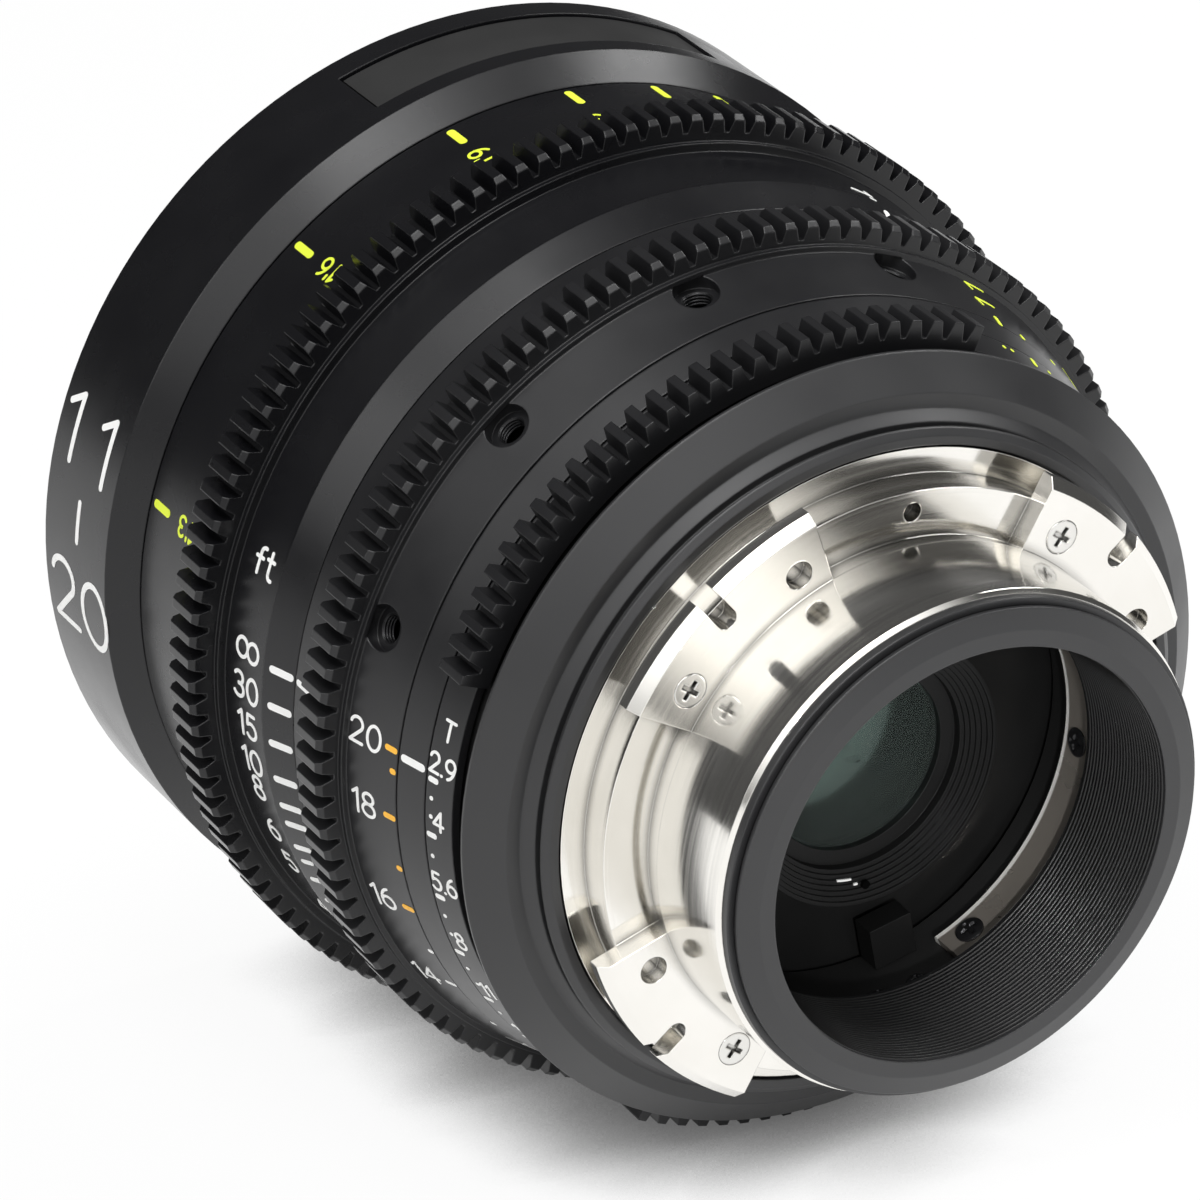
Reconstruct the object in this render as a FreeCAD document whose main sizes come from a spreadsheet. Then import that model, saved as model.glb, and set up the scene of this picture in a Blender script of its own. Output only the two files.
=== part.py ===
import FreeCAD, Part
import math
import os

import Sketcher

# Cinema zoom lens with a four-lug lens mount.
# The optical axis is Y. The camera side is -Y, +Z is up, and the origin lies on the seat of the mount lugs.

doc = FreeCAD.newDocument("CineZoomLens")

# Driving dimensions, millimetres, degrees and counts
DIMENSIONS = {
    "Fits": {
        "fit_gap": 0.05,
        "running_gap": 0.3,
        "seam_gap": 0.3,
        "edge_break": 0.4,
        "cut_overrun": 1.0,
    },
    "Mount flange": {
        "mount_bore": 24.2,
        "spigot_radius": 27.0,
        "spigot_length": 11.3,
        "gap_radius": 26.6,
        "lug_radius": 34.5,
        "lug_thickness": 2.3,
        "lug_chamfer": 1.0,
        "lug_count": 4,
        "lug_gap_angle": 47.2,
        "throat_radius": 31.5,
        "throat_width": 3.7,
        "disc_radius": 34.1,
        "disc_thickness": 1.3,
        "boss_radius": 30.0,
        "boss_length": 2.0,
        "notch_width": 2.2,
        "notch_centre": 31.5,
        "hole_circle": 29.6,
        "screw_angle": 14.0,
        "hole_angle": 15.3,
        "pin_hole": 2.9,
        "pin_hole_depth": 1.6,
        "vent_hole": 2.0,
        "vent_circle": 29.3,
        "vent_angle": 92.0,
        "vent_depth": 1.5,
    },
    "Mount screws": {
        "screw_head": 3.5,
        "screw_head_height": 1.1,
        "screw_shank": 2.0,
        "screw_reach": 6.8,
        "recess_length": 2.1,
        "recess_width": 0.5,
        "recess_depth": 0.6,
    },
    "Rear tube": {
        "tube_bore": 22.1,
        "tube_depth": 13.6,
        "tip_flat": 23.8,
        "tip_slope": 0.65,
        "tip_radius": 25.9,
        "tip_band": 0.45,
        "groove_radius": 25.2,
        "groove_width": 0.35,
        "rim_radius": 26.5,
        "rim_width": 0.85,
    },
    "Inner strip": {
        "strip_inner": 23.2,
        "strip_start": 0.3,
        "strip_width": 5.4,
        "strip_edge": 0.35,
        "strip_angle": 126.0,
        "strip_middle": 1.0,
        "strip_screw_head": 3.0,
        "strip_screw_rise": 0.5,
        "strip_screw_angle": 56.0,
    },
    "Bore block": {
        "block_room": 0.2,
        "block_height": 4.7,
        "block_width": 4.8,
        "block_start": 6.2,
        "block_length": 2.8,
        "block_angle": 287.4,
        "bore_screw_head": 2.3,
        "bore_screw_rise": 0.6,
        "bore_screw_place": 1.9,
        "bore_screw_angle": 276.5,
        "bore_screw_step": 10.5,
    },
    "Rear body": {
        "body_recess": 0.2,
        "body_face": 35.3,
        "body_chamfer": 0.65,
        "body_first_radius": 36.1,
        "body_groove_radius": 35.4,
        "body_groove_width": 1.0,
        "body_cone_radius": 37.1,
        "body_cone_length": 1.1,
        "body_step_radius": 38.6,
        "body_radius": 41.9,
        "body_flare": 2.7,
        "socket_radius": 38.0,
    },
    "Main barrel": {
        "barrel_bore": 36.6,
        "barrel_spigot": 2.3,
        "iris_track": 39.9,
        "barrel_radius": 40.6,
        "ring_groove": 3.2,
        "barrel_end": 72.8,
    },
    "Iris ring": {
        "iris_rear_radius": 41.1,
        "iris_front_radius": 42.0,
        "iris_width": 3.6,
        "iris_teeth": 108,
        "iris_gear_slots": 27,
        "iris_gear_radius": 43.9,
        "iris_gear_overhang": 1.0,
        "iris_gear_width": 4.1,
        "iris_gear_middle": 118.6,
        "iris_far_gear_middle": 294.0,
    },
    "Index band": {
        "band_rear_radius": 42.0,
        "band_front_radius": 43.0,
        "band_width": 3.6,
    },
    "Zoom ring": {
        "zoom_rear_radius": 43.0,
        "zoom_scale_radius": 44.7,
        "zoom_scale_width": 6.9,
        "zoom_shoulder_radius": 45.3,
        "zoom_shoulder_width": 0.6,
        "zoom_teeth": 117,
        "zoom_gear_radius": 47.6,
        "zoom_gear_width": 4.9,
        "zoom_gear_phase": 140.5,
        "lever_spread": 4.6,
        "lever_spread_depth": 1.0,
        "lever_hole": 3.0,
        "lever_hole_depth": 2.0,
        "lever_place": 5.4,
        "lever_angle": 165.0,
        "lever_arc": 90.0,
        "lever_count": 4,
    },
    "Gear teeth": {
        "tooth_depth": 1.8,
        "tooth_bevel": 0.5,
        "slot_top_share": 0.62,
        "slot_floor_share": 0.2,
    },
    "Focus index ring": {
        "index_radius": 45.1,
        "index_width": 4.5,
    },
    "Focus ring": {
        "tick_rear_radius": 45.0,
        "tick_front_radius": 46.5,
        "tick_width": 4.0,
        "number_rear_radius": 46.0,
        "number_front_radius": 46.8,
        "number_width": 7.2,
        "focus_shoulder_radius": 47.7,
        "focus_shoulder_width": 0.6,
        "focus_teeth": 124,
        "focus_gear_radius": 50.4,
        "focus_gear_width": 5.2,
        "focus_gear_phase": 138.3,
        "focus_band_radius": 47.2,
        "focus_band_width": 12.3,
    },
    "Ring reliefs": {
        "relief_bore": 41.9,
        "zoom_relief_place": 1.2,
        "zoom_relief_width": 10.0,
        "focus_relief_place": 12.5,
        "focus_relief_width": 13.0,
    },
    "Front ring": {
        "front_rear_radius": 47.2,
        "front_cone_length": 2.8,
        "front_radius": 49.8,
        "front_length": 17.1,
        "filter_radius": 43.0,
        "filter_depth": 3.4,
        "plate_recess_depth": 0.8,
        "plate_setback": 3.6,
        "plate_recess_width": 8.2,
        "plate_recess_angle": 47.8,
        "plate_middle": 91.7,
        "plate_margin": 0.3,
        "plate_thickness": 0.45,
    },
    "Front lens cell": {
        "cell_radius": 42.0,
        "cell_reach": 6.0,
        "cell_depth": 8.2,
        "ledge_depth": 2.4,
        "front_glass_radius": 37.6,
        "front_glass_edge": 3.4,
        "front_glass_bulge": 170.0,
        "front_glass_hollow": 140.0,
        "retainer_bore": 36.2,
        "retainer_width": 2.2,
        "second_glass_radius": 33.6,
        "second_glass_edge": 2.6,
        "second_glass_bulge": 110.0,
        "second_glass_hollow": 120.0,
        "second_lip": 1.6,
        "second_ring_bore": 32.2,
        "second_ring_width": 1.6,
    },
    "Lens carriages": {
        "carriage_wall": 1.6,
        "carriage_web": 3.2,
        "carriage_lip": 1.2,
        "lip_thickness": 0.8,
        "rim_land": 1.4,
        "focus_carriage_start": 51.0,
        "focus_carriage_width": 12.5,
        "focus_glass_radius": 31.0,
        "focus_glass_edge": 2.6,
        "focus_glass_bulge": 80.0,
        "focus_glass_hollow": 120.0,
        "focus_pin_place": 6.2,
        "focus_travel": 3.0,
        "zoom_carriage_start": 24.0,
        "zoom_carriage_width": 8.0,
        "zoom_glass_radius": 25.0,
        "zoom_glass_edge": 2.4,
        "zoom_glass_bulge": 90.0,
        "zoom_glass_hollow": 70.0,
        "zoom_pin_place": 2.2,
        "zoom_travel": 5.2,
        "relay_carriage_start": 37.5,
        "relay_carriage_width": 8.6,
        "relay_glass_radius": 26.0,
        "relay_glass_edge": 2.4,
        "relay_glass_bulge": 66.0,
        "relay_glass_hollow": 90.0,
        "relay_pin_place": 4.3,
        "relay_travel": 3.0,
        "pin_radius": 1.6,
        "pin_gap": 0.25,
        "pin_root": 34.9,
        "cam_pin_end": 41.5,
        "guide_pin_end": 40.3,
        "pin_count": 3,
    },
    "Iris": {
        "iris_base_start": 12.7,
        "iris_base_thickness": 1.5,
        "aperture_lap": 0.5,
        "iris_base_wall": 1.2,
        "iris_cover_thickness": 1.4,
        "blade_count": 9,
        "blade_clearance": 0.3,
        "blade_thickness": 0.25,
        "blade_spacing": 0.4,
        "blade_width": 5.2,
        "blade_sweep": 72.0,
        "blade_ear": 1.9,
        "pivot_inset": 5.6,
        "pivot_radius": 0.7,
        "pivot_gap": 0.12,
        "pivot_room": 1.1,
        "ear_room": 0.5,
        "key_radius": 1.0,
        "key_gap": 0.3,
        "key_angle": 262.0,
        "key_end": 41.2,
        "key_seat_wall": 1.0,
        "iris_turn": 58.0,
    },
    "Rear lens cell": {
        "bulkhead_start": 10.0,
        "bulkhead_thickness": 1.8,
        "rear_cell_radius": 14.5,
        "rear_cell_start": 4.5,
        "rear_cell_length": 9.0,
        "rear_cell_mouth": 11.4,
        "rear_cell_slope": 2.3,
        "rear_cell_steps": 7,
        "rear_lip_radius": 9.8,
        "rear_lip_place": 3.0,
        "rear_lip_width": 0.8,
        "rear_glass_radius": 12.0,
        "rear_glass_edge": 2.8,
        "rear_glass_land": 2.4,
        "rear_glass_bulge": 42.0,
        "rear_glass_hollow": 34.0,
        "rear_lock_bore": 10.4,
        "rear_lock_width": 1.4,
    },
}

sheet = doc.addObject("Spreadsheet::Sheet", "Sizes")
SIZE = {}


def fill_sheet():
    row = 1
    for heading, entries in DIMENSIONS.items():
        sheet.set("A%d" % row, heading)
        row += 1
        for alias, value in entries.items():
            sheet.set("A%d" % row, alias)
            sheet.set("B%d" % row, str(value))
            sheet.setAlias("B%d" % row, alias)
            SIZE[alias] = value
            row += 1
    doc.recompute()


fill_sheet()


def size(alias):
    # the cell's address for use in an expression
    return "Sizes." + alias


def number(expression):
    # the present value of an expression over the sheet
    value = sheet.evalExpression(expression)
    return float(getattr(value, "Value", value))


def total(*terms):
    # an expression that adds its terms
    return " + ".join("(%s)" % term for term in terms)


def less(first, *others):
    # an expression that takes the other terms from the first
    return "(%s)" % first + "".join(" - (%s)" % other for other in others)


def d(*aliases):
    # the sum of some cells as an expression
    return total(*(size(alias) for alias in aliases))


def new_body(label):
    body = doc.addObject("PartDesign::Body", "Body_" + label)
    body.Label = label
    return body


def origin_feature(body, role):
    for feature in body.Origin.OriginFeatures:
        if feature.Role == role:
            return feature
    raise ValueError(role)


def new_sketch(body, name, role):
    sketch = body.newObject("Sketcher::SketchObject", "%s_%s" % (body.Label, name))
    sketch.AttachmentSupport = [(origin_feature(body, role), "")]
    sketch.MapMode = "FlatFace"
    return sketch


def meridian_sketch(body, name, angle="0"):
    # horizontal is the radius, vertical runs along the axis, in the half plane at this angle round the axis
    sketch = new_sketch(body, name, "XY_Plane")
    turn = FreeCAD.Rotation(FreeCAD.Vector(0, -1, 0), number(angle))
    sketch.AttachmentOffset = FreeCAD.Placement(FreeCAD.Vector(), turn)
    if angle != "0":
        sketch.setExpression("AttachmentOffset.Rotation.Angle", angle)
    return sketch


def cross_sketch(body, name, along, angle="90"):
    # a plane across the axis, whose vertical points away from the axis at this angle
    sketch = new_sketch(body, name, "XZ_Plane")
    turn = FreeCAD.Rotation(FreeCAD.Vector(0, 0, 1), 1.0)
    sketch.AttachmentOffset = FreeCAD.Placement(FreeCAD.Vector(), turn)
    sketch.setExpression("AttachmentOffset.Rotation.Angle", less(angle, "90"))
    sketch.setExpression("AttachmentOffset.Base.z", "-(%s)" % along)
    return sketch


def radial_sketch(body, name, radius, angle):
    # a plane that faces away from the axis, horizontal along the axis
    sketch = new_sketch(body, name, "YZ_Plane")
    turn = FreeCAD.Rotation(FreeCAD.Vector(-1, 0, 0), 1.0)
    sketch.AttachmentOffset = FreeCAD.Placement(FreeCAD.Vector(), turn)
    sketch.setExpression("AttachmentOffset.Rotation.Angle", angle)
    sketch.setExpression("AttachmentOffset.Base.y", "(%s) * sin((%s) * 1deg)" % (radius, angle))
    sketch.setExpression("AttachmentOffset.Base.z", "(%s) * cos((%s) * 1deg)" % (radius, angle))
    return sketch


def pin_down(sketch, kind, piece, end, expression):
    # ties one end of a line or arc to the sketch's axes
    axis = {"DistanceX": -2, "DistanceY": -1}[kind]
    if expression == "0":
        sketch.addConstraint(Sketcher.Constraint("PointOnObject", piece, end, axis))
        return
    index = sketch.addConstraint(Sketcher.Constraint(kind, -1, 1, piece, end, number(expression)))
    sketch.setExpression("Constraints[%d]" % index, expression)


def arc_between(start, end, radius, side):
    # the short arc from start to end, with its centre on the left of the way there when side is 1
    middle = (start + end) * 0.5
    chord = end - start
    normal = FreeCAD.Vector(-chord.y, chord.x, 0).normalize() * side
    centre = middle + normal * math.sqrt(radius ** 2 - chord.Length ** 2 / 4)
    first = math.atan2(start.y - centre.y, start.x - centre.x)
    last = math.atan2(end.y - centre.y, end.x - centre.x)
    circle = Part.Circle(centre, FreeCAD.Vector(0, 0, 1), radius)
    if side > 0:
        return Part.ArcOfCircle(circle, first, last), 1, 2
    return Part.ArcOfCircle(circle, last, first), 2, 1


def draw_outline(sketch, corners):
    # each corner is (horizontal, vertical) or (horizontal, vertical, radius, side) where an arc follows it
    places = [FreeCAD.Vector(number(corner[0]), number(corner[1]), 0) for corner in corners]
    ends = []
    for index, corner in enumerate(corners):
        start = places[index]
        end = places[(index + 1) % len(corners)]
        if len(corner) == 2:
            piece = sketch.addGeometry(Part.LineSegment(start, end))
            ends.append((piece, 1, 2))
            continue
        arc, first, last = arc_between(start, end, number(corner[2]), corner[3])
        piece = sketch.addGeometry(arc)
        ends.append((piece, first, last))
    for index, (piece, _, last) in enumerate(ends):
        follower, first, _ = ends[(index + 1) % len(ends)]
        sketch.addConstraint(Sketcher.Constraint("Coincident", piece, last, follower, first))
    for corner, (piece, first, _) in zip(corners, ends):
        pin_down(sketch, "DistanceX", piece, first, corner[0])
        pin_down(sketch, "DistanceY", piece, first, corner[1])
        if len(corner) > 2:
            index = sketch.addConstraint(Sketcher.Constraint("Radius", piece, number(corner[2])))
            sketch.setExpression("Constraints[%d]" % index, corner[2])


def draw_circle(sketch, radius, height):
    # a circle on the vertical axis of the sketch
    centre = FreeCAD.Vector(0, number(height), 0)
    circle = sketch.addGeometry(Part.Circle(centre, FreeCAD.Vector(0, 0, 1), number(radius)))
    pin_down(sketch, "DistanceX", circle, 3, "0")
    pin_down(sketch, "DistanceY", circle, 3, height)
    index = sketch.addConstraint(Sketcher.Constraint("Radius", circle, number(radius)))
    sketch.setExpression("Constraints[%d]" % index, radius)


def draw_side_circle(sketch, radius, along):
    # a circle on the horizontal axis of the sketch
    centre = FreeCAD.Vector(number(along), 0, 0)
    circle = sketch.addGeometry(Part.Circle(centre, FreeCAD.Vector(0, 0, 1), number(radius)))
    pin_down(sketch, "DistanceX", circle, 3, along)
    pin_down(sketch, "DistanceY", circle, 3, "0")
    index = sketch.addConstraint(Sketcher.Constraint("Radius", circle, number(radius)))
    sketch.setExpression("Constraints[%d]" % index, radius)


def draw_trapezoid(sketch, low, low_width, high, high_width):
    # four sides that mirror each other about the vertical axis
    heights = [low, low, high, high]
    halves = [-number(low_width) / 2, number(low_width) / 2, number(high_width) / 2, -number(high_width) / 2]
    places = [FreeCAD.Vector(half, number(height), 0) for half, height in zip(halves, heights)]
    for index in range(4):
        sketch.addGeometry(Part.LineSegment(places[index], places[(index + 1) % 4]))
    for index in range(4):
        sketch.addConstraint(Sketcher.Constraint("Coincident", index, 2, (index + 1) % 4, 1))
    for index, width, height in ((0, low_width, low), (2, high_width, high)):
        sketch.addConstraint(Sketcher.Constraint("Symmetric", index, 1, index, 2, -2))
        first, last = (1, 2) if index == 0 else (2, 1)
        wide = sketch.addConstraint(
            Sketcher.Constraint("DistanceX", index, first, index, last, number(width)))
        sketch.setExpression("Constraints[%d]" % wide, width)
        pin_down(sketch, "DistanceY", index, 1, height)


def revolve(body, name, sketch, angle=None, cut=False):
    # turns a meridian sketch all the way round, or evenly to both sides by an angle
    kind = "PartDesign::Groove" if cut else "PartDesign::Revolution"
    feature = body.newObject(kind, "%s_%s" % (body.Label, name))
    feature.Profile = sketch
    feature.ReferenceAxis = (sketch, ["V_Axis"])
    feature.Angle = 360
    if angle:
        feature.Midplane = True
        feature.setExpression("Angle", angle)
    return feature


def pocket(body, name, sketch, depth):
    # cuts away from the side that the sketch faces
    feature = body.newObject("PartDesign::Pocket", "%s_%s" % (body.Label, name))
    feature.Profile = sketch
    feature.Length = number(depth)
    feature.setExpression("Length", depth)
    return feature


def pad(body, name, sketch, height, backwards=False):
    feature = body.newObject("PartDesign::Pad", "%s_%s" % (body.Label, name))
    feature.Profile = sketch
    feature.Length = number(height)
    feature.Reversed = backwards
    feature.setExpression("Length", height)
    return feature


def polar(body, name, originals, count, arc="360"):
    # repeats features round the optical axis, towards smaller angles
    feature = body.newObject("PartDesign::PolarPattern", "%s_%s" % (body.Label, name))
    feature.Originals = originals
    feature.Axis = (origin_feature(body, "Y_Axis"), [""])
    feature.Angle = number(arc)
    feature.Occurrences = int(number(count))
    feature.setExpression("Angle", arc)
    feature.setExpression("Occurrences", count)
    body.Tip = feature
    return feature


def place(body, along="0", angle=None):
    # stands the body along the optical axis, turned round it
    if angle:
        turn = FreeCAD.Rotation(FreeCAD.Vector(0, -1, 0), 1.0)
        body.Placement = FreeCAD.Placement(FreeCAD.Vector(), turn)
        body.setExpression("Placement.Rotation.Angle", angle)
    if along != "0":
        body.setExpression("Placement.Base.y", along)


def turned(label, along, corners):
    # a body of revolution whose outline starts at its own rear end
    body = new_body(label)
    sketch = meridian_sketch(body, "outline")
    draw_outline(sketch, corners)
    revolve(body, "turning", sketch)
    place(body, along)
    return body


def cut_teeth(body, along, width, tip_radius, teeth, angle="90", slots=None):
    # straight slots between the teeth of a fine pitch drive gear
    sketch = cross_sketch(body, "tooth_slot", along, angle)
    floor = less(tip_radius, size("tooth_depth"))
    pitch = "2 * pi * (%s) / (%s)" % (tip_radius, teeth)
    outside = total(tip_radius, size("edge_break"))
    flare = "(%s) * (%s)" % (pitch, less(size("slot_top_share"), size("slot_floor_share")))
    open_share = "(%s) * (%s) + (%s) * (%s) / (%s)" % (
        pitch, size("slot_top_share"), flare, size("edge_break"), size("tooth_depth"))
    draw_trapezoid(sketch, floor, "(%s) * (%s)" % (pitch, size("slot_floor_share")), outside, open_share)
    slot = pocket(body, "tooth_cut", sketch, width)
    if slots is None:
        return polar(body, "teeth", [slot], teeth)
    arc = "360 / (%s) * (%s)" % (teeth, less(slots, "1"))
    return polar(body, "teeth", [slot], slots, arc)


# Stations along the optical axis, each from the pieces behind it
THROAT_START = size("lug_thickness")
DISC_START = d("lug_thickness", "throat_width")
FLOOR_START = total(DISC_START, size("disc_thickness"))
FLOOR_END = total(FLOOR_START, size("boss_length"))
BODY_START = less(DISC_START, size("body_recess"))
BODY_END = total(FLOOR_END, size("barrel_spigot"))
IRIS_START = total(BODY_END, size("ring_groove"))
BAND_START = total(IRIS_START, d("iris_width", "seam_gap"))
ZOOM_START = total(BAND_START, d("band_width", "seam_gap"))
ZOOM_GEAR_START = total(ZOOM_START, d("zoom_scale_width", "zoom_shoulder_width"))
INDEX_START = total(ZOOM_GEAR_START, d("zoom_gear_width", "seam_gap"))
FOCUS_START = total(INDEX_START, d("index_width", "seam_gap"))
NUMBER_START = size("tick_width")
SHOULDER_START = d("tick_width", "number_width")
FOCUS_GEAR_START = total(SHOULDER_START, size("focus_shoulder_width"))
FOCUS_GEAR_END = total(FOCUS_GEAR_START, size("focus_gear_width"))
FOCUS_END = total(FOCUS_GEAR_END, size("focus_band_width"))
FRONT_START = total(FOCUS_START, FOCUS_END, size("seam_gap"))
FRONT_END = total(FRONT_START, size("front_length"))
RING_BORE = d("barrel_radius", "running_gap")
PIVOT_CIRCLE = less(size("barrel_bore"), size("pivot_inset"))
BLADE_OUTER = less(PIVOT_CIRCLE, size("pivot_radius"), size("pivot_room"))
BLADE_INNER = less(BLADE_OUTER, size("blade_width"))
APERTURE = less(BLADE_INNER, size("aperture_lap"))
DRIVE_INNER = total(PIVOT_CIRCLE, d("blade_ear", "ear_room"))


def mount_flange():
    flange = turned("mount_flange", "-" + size("spigot_length"), [
        (size("mount_bore"), "0"),
        (less(size("spigot_radius"), size("edge_break")), "0"),
        (size("spigot_radius"), size("edge_break")),
        (size("spigot_radius"), size("spigot_length")),
        (less(size("lug_radius"), size("lug_chamfer")), size("spigot_length")),
        (size("lug_radius"), d("spigot_length", "lug_chamfer")),
        (size("lug_radius"), d("spigot_length", "lug_thickness")),
        (size("throat_radius"), d("spigot_length", "lug_thickness")),
        (size("throat_radius"), total(size("spigot_length"), DISC_START)),
        (size("disc_radius"), total(size("spigot_length"), DISC_START)),
        (size("disc_radius"), total(size("spigot_length"), FLOOR_START)),
        (size("boss_radius"), total(size("spigot_length"), FLOOR_START)),
        (size("boss_radius"), total(size("spigot_length"), FLOOR_END)),
        (size("mount_bore"), total(size("spigot_length"), FLOOR_END)),
    ])
    seat = size("spigot_length")
    gap_sketch = meridian_sketch(flange, "lug_gap", "90")
    draw_outline(gap_sketch, [
        (size("gap_radius"), seat),
        (d("lug_radius", "edge_break"), seat),
        (d("lug_radius", "edge_break"), total(seat, size("lug_thickness"))),
        (size("gap_radius"), total(seat, size("lug_thickness"))),
    ])
    gap = revolve(flange, "lug_gap_cut", gap_sketch, size("lug_gap_angle"), cut=True)
    polar(flange, "lug_gaps", [gap], size("lug_count"))
    lug_angle = "180 / %s + 90" % size("lug_count")
    slot_sketch = cross_sketch(flange, "notch", seat, lug_angle)
    draw_trapezoid(slot_sketch, size("notch_centre"), size("notch_width"),
                   total(size("lug_radius"), size("edge_break")), size("notch_width"))
    slot = pocket(flange, "notch_cut", slot_sketch, size("lug_thickness"))
    end_sketch = cross_sketch(flange, "notch_end", seat, lug_angle)
    draw_circle(end_sketch, size("notch_width") + " / 2", size("notch_centre"))
    end = pocket(flange, "notch_end_cut", end_sketch, size("lug_thickness"))
    polar(flange, "notches", [slot, end], size("lug_count"))
    screw_place = total(lug_angle, size("screw_angle"))
    head_sketch = cross_sketch(flange, "screw_seat", seat, screw_place)
    draw_circle(head_sketch, total(size("screw_head") + " / 2", size("fit_gap")), size("hole_circle"))
    head = pocket(flange, "screw_seat_cut", head_sketch, size("screw_head_height"))
    shank_sketch = cross_sketch(flange, "screw_hole", seat, screw_place)
    draw_circle(shank_sketch, total(size("screw_shank") + " / 2", size("fit_gap")), size("hole_circle"))
    shank = pocket(flange, "screw_hole_cut", shank_sketch, d("screw_reach", "running_gap"))
    polar(flange, "screw_holes", [head, shank], size("lug_count"))
    pin_sketch = cross_sketch(flange, "pin_hole", seat, less(lug_angle, size("hole_angle")))
    draw_circle(pin_sketch, size("pin_hole") + " / 2", size("hole_circle"))
    pin = pocket(flange, "pin_hole_cut", pin_sketch, size("pin_hole_depth"))
    polar(flange, "pin_holes", [pin], size("lug_count"))
    vent_sketch = cross_sketch(flange, "vent", total(seat, size("lug_thickness")), size("vent_angle"))
    draw_circle(vent_sketch, size("vent_hole") + " / 2", size("vent_circle"))
    pocket(flange, "vent_cut", vent_sketch, size("vent_depth"))


def mount_screw(index):
    screw = new_body("mount_screw_%d" % (index + 1))
    head_sketch = cross_sketch(screw, "head", "0")
    draw_circle(head_sketch, size("screw_head") + " / 2", size("hole_circle"))
    pad(screw, "head_pad", head_sketch, size("screw_head_height"), backwards=True)
    shank_sketch = cross_sketch(screw, "shank", "0")
    draw_circle(shank_sketch, size("screw_shank") + " / 2", size("hole_circle"))
    pad(screw, "shank_pad", shank_sketch, size("screw_reach"), backwards=True)
    for name, wide, tall in (("recess", "recess_width", "recess_length"),
                             ("recess_across", "recess_length", "recess_width")):
        sketch = cross_sketch(screw, name, "0")
        low = less(size("hole_circle"), size(tall) + " / 2")
        high = total(size("hole_circle"), size(tall) + " / 2")
        draw_trapezoid(sketch, low, size(wide), high, size(wide))
        pocket(screw, name + "_cut", sketch, size("recess_depth"))
    step = "360 / %s * %d" % (size("lug_count"), index)
    place(screw, angle=total("180 / " + size("lug_count"), size("screw_angle"), step))


def rear_tube():
    tip = total(size("tip_slope"), size("tip_band"))
    rim = total(tip, size("groove_width"))
    shoulder = total(rim, size("rim_width"))
    start = less("0", size("spigot_length"), shoulder)
    turned("rear_tube", start, [
        (size("tube_bore"), "0"),
        (size("tip_flat"), "0"),
        (size("tip_radius"), size("tip_slope")),
        (size("tip_radius"), tip),
        (size("groove_radius"), tip),
        (size("groove_radius"), rim),
        (size("rim_radius"), rim),
        (size("rim_radius"), shoulder),
        (size("mount_bore"), shoulder),
        (size("mount_bore"), size("tube_depth")),
        (size("tube_bore"), size("tube_depth")),
    ])


def inner_strip():
    strip = new_body("inner_strip")
    sketch = meridian_sketch(strip, "outline", size("strip_middle"))
    outer = less(size("mount_bore"), size("fit_gap"))
    inner = size("strip_inner")
    draw_outline(sketch, [
        (total(inner, size("strip_edge")), "0"),
        (outer, "0"),
        (outer, size("strip_width")),
        (total(inner, size("strip_edge")), size("strip_width")),
        (inner, less(size("strip_width"), size("strip_edge"))),
        (inner, size("strip_edge")),
    ])
    revolve(strip, "bend", sketch, size("strip_angle"))
    place(strip, size("strip_start"))


def strip_screw(index):
    screw = new_body("strip_screw_%d" % (index + 1))
    side = size("strip_screw_angle") + " * %d" % (index - 1)
    seat = less(size("strip_inner"), size("fit_gap"))
    sketch = radial_sketch(screw, "head", seat, total(size("strip_middle"), side))
    draw_side_circle(sketch, size("strip_screw_head") + " / 2", total(size("strip_start"), size("strip_width") + " / 2"))
    pad(screw, "head_pad", sketch, size("strip_screw_rise"), backwards=True)


def bore_block():
    block = new_body("bore_block")
    outer = less(size("mount_bore"), size("block_room"))
    sketch = cross_sketch(block, "outline", "0", size("block_angle"))
    draw_trapezoid(sketch, less(outer, size("block_height")), size("block_width"), outer, size("block_width"))
    pad(block, "block", sketch, size("block_length"), backwards=True)
    place(block, size("block_start"))


def bore_screw(index):
    screw = new_body("bore_screw_%d" % (index + 1))
    seat = less(size("mount_bore"), size("fit_gap"))
    angle = total(size("bore_screw_angle"), size("bore_screw_step") + " * %d" % index)
    sketch = radial_sketch(screw, "head", seat, angle)
    draw_side_circle(sketch, size("bore_screw_head") + " / 2", size("bore_screw_place"))
    pad(screw, "head_pad", sketch, size("bore_screw_rise"), backwards=True)


def rear_body():
    recess = total(size("disc_radius"), size("seam_gap"))
    groove_start = size("body_chamfer")
    groove_end = total(groove_start, size("body_groove_width"))
    cone_end = total(groove_end, size("body_cone_length"))
    flare_end = total(cone_end, size("body_flare"))
    depth = less(BODY_END, BODY_START)
    floor = less(FLOOR_START, BODY_START)
    turned("rear_body", BODY_START, [
        (recess, "0"),
        (size("body_face"), "0"),
        (size("body_first_radius"), groove_start),
        (size("body_groove_radius"), groove_start),
        (size("body_groove_radius"), groove_end),
        (size("body_first_radius"), groove_end),
        (size("body_cone_radius"), cone_end),
        (size("body_step_radius"), cone_end),
        (size("body_radius"), flare_end),
        (size("body_radius"), depth),
        (size("socket_radius"), depth),
        (size("socket_radius"), less(FLOOR_END, BODY_START)),
        (total(size("boss_radius"), size("fit_gap")), less(FLOOR_END, BODY_START)),
        (total(size("boss_radius"), size("fit_gap")), floor),
        (recess, floor),
    ])


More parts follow.
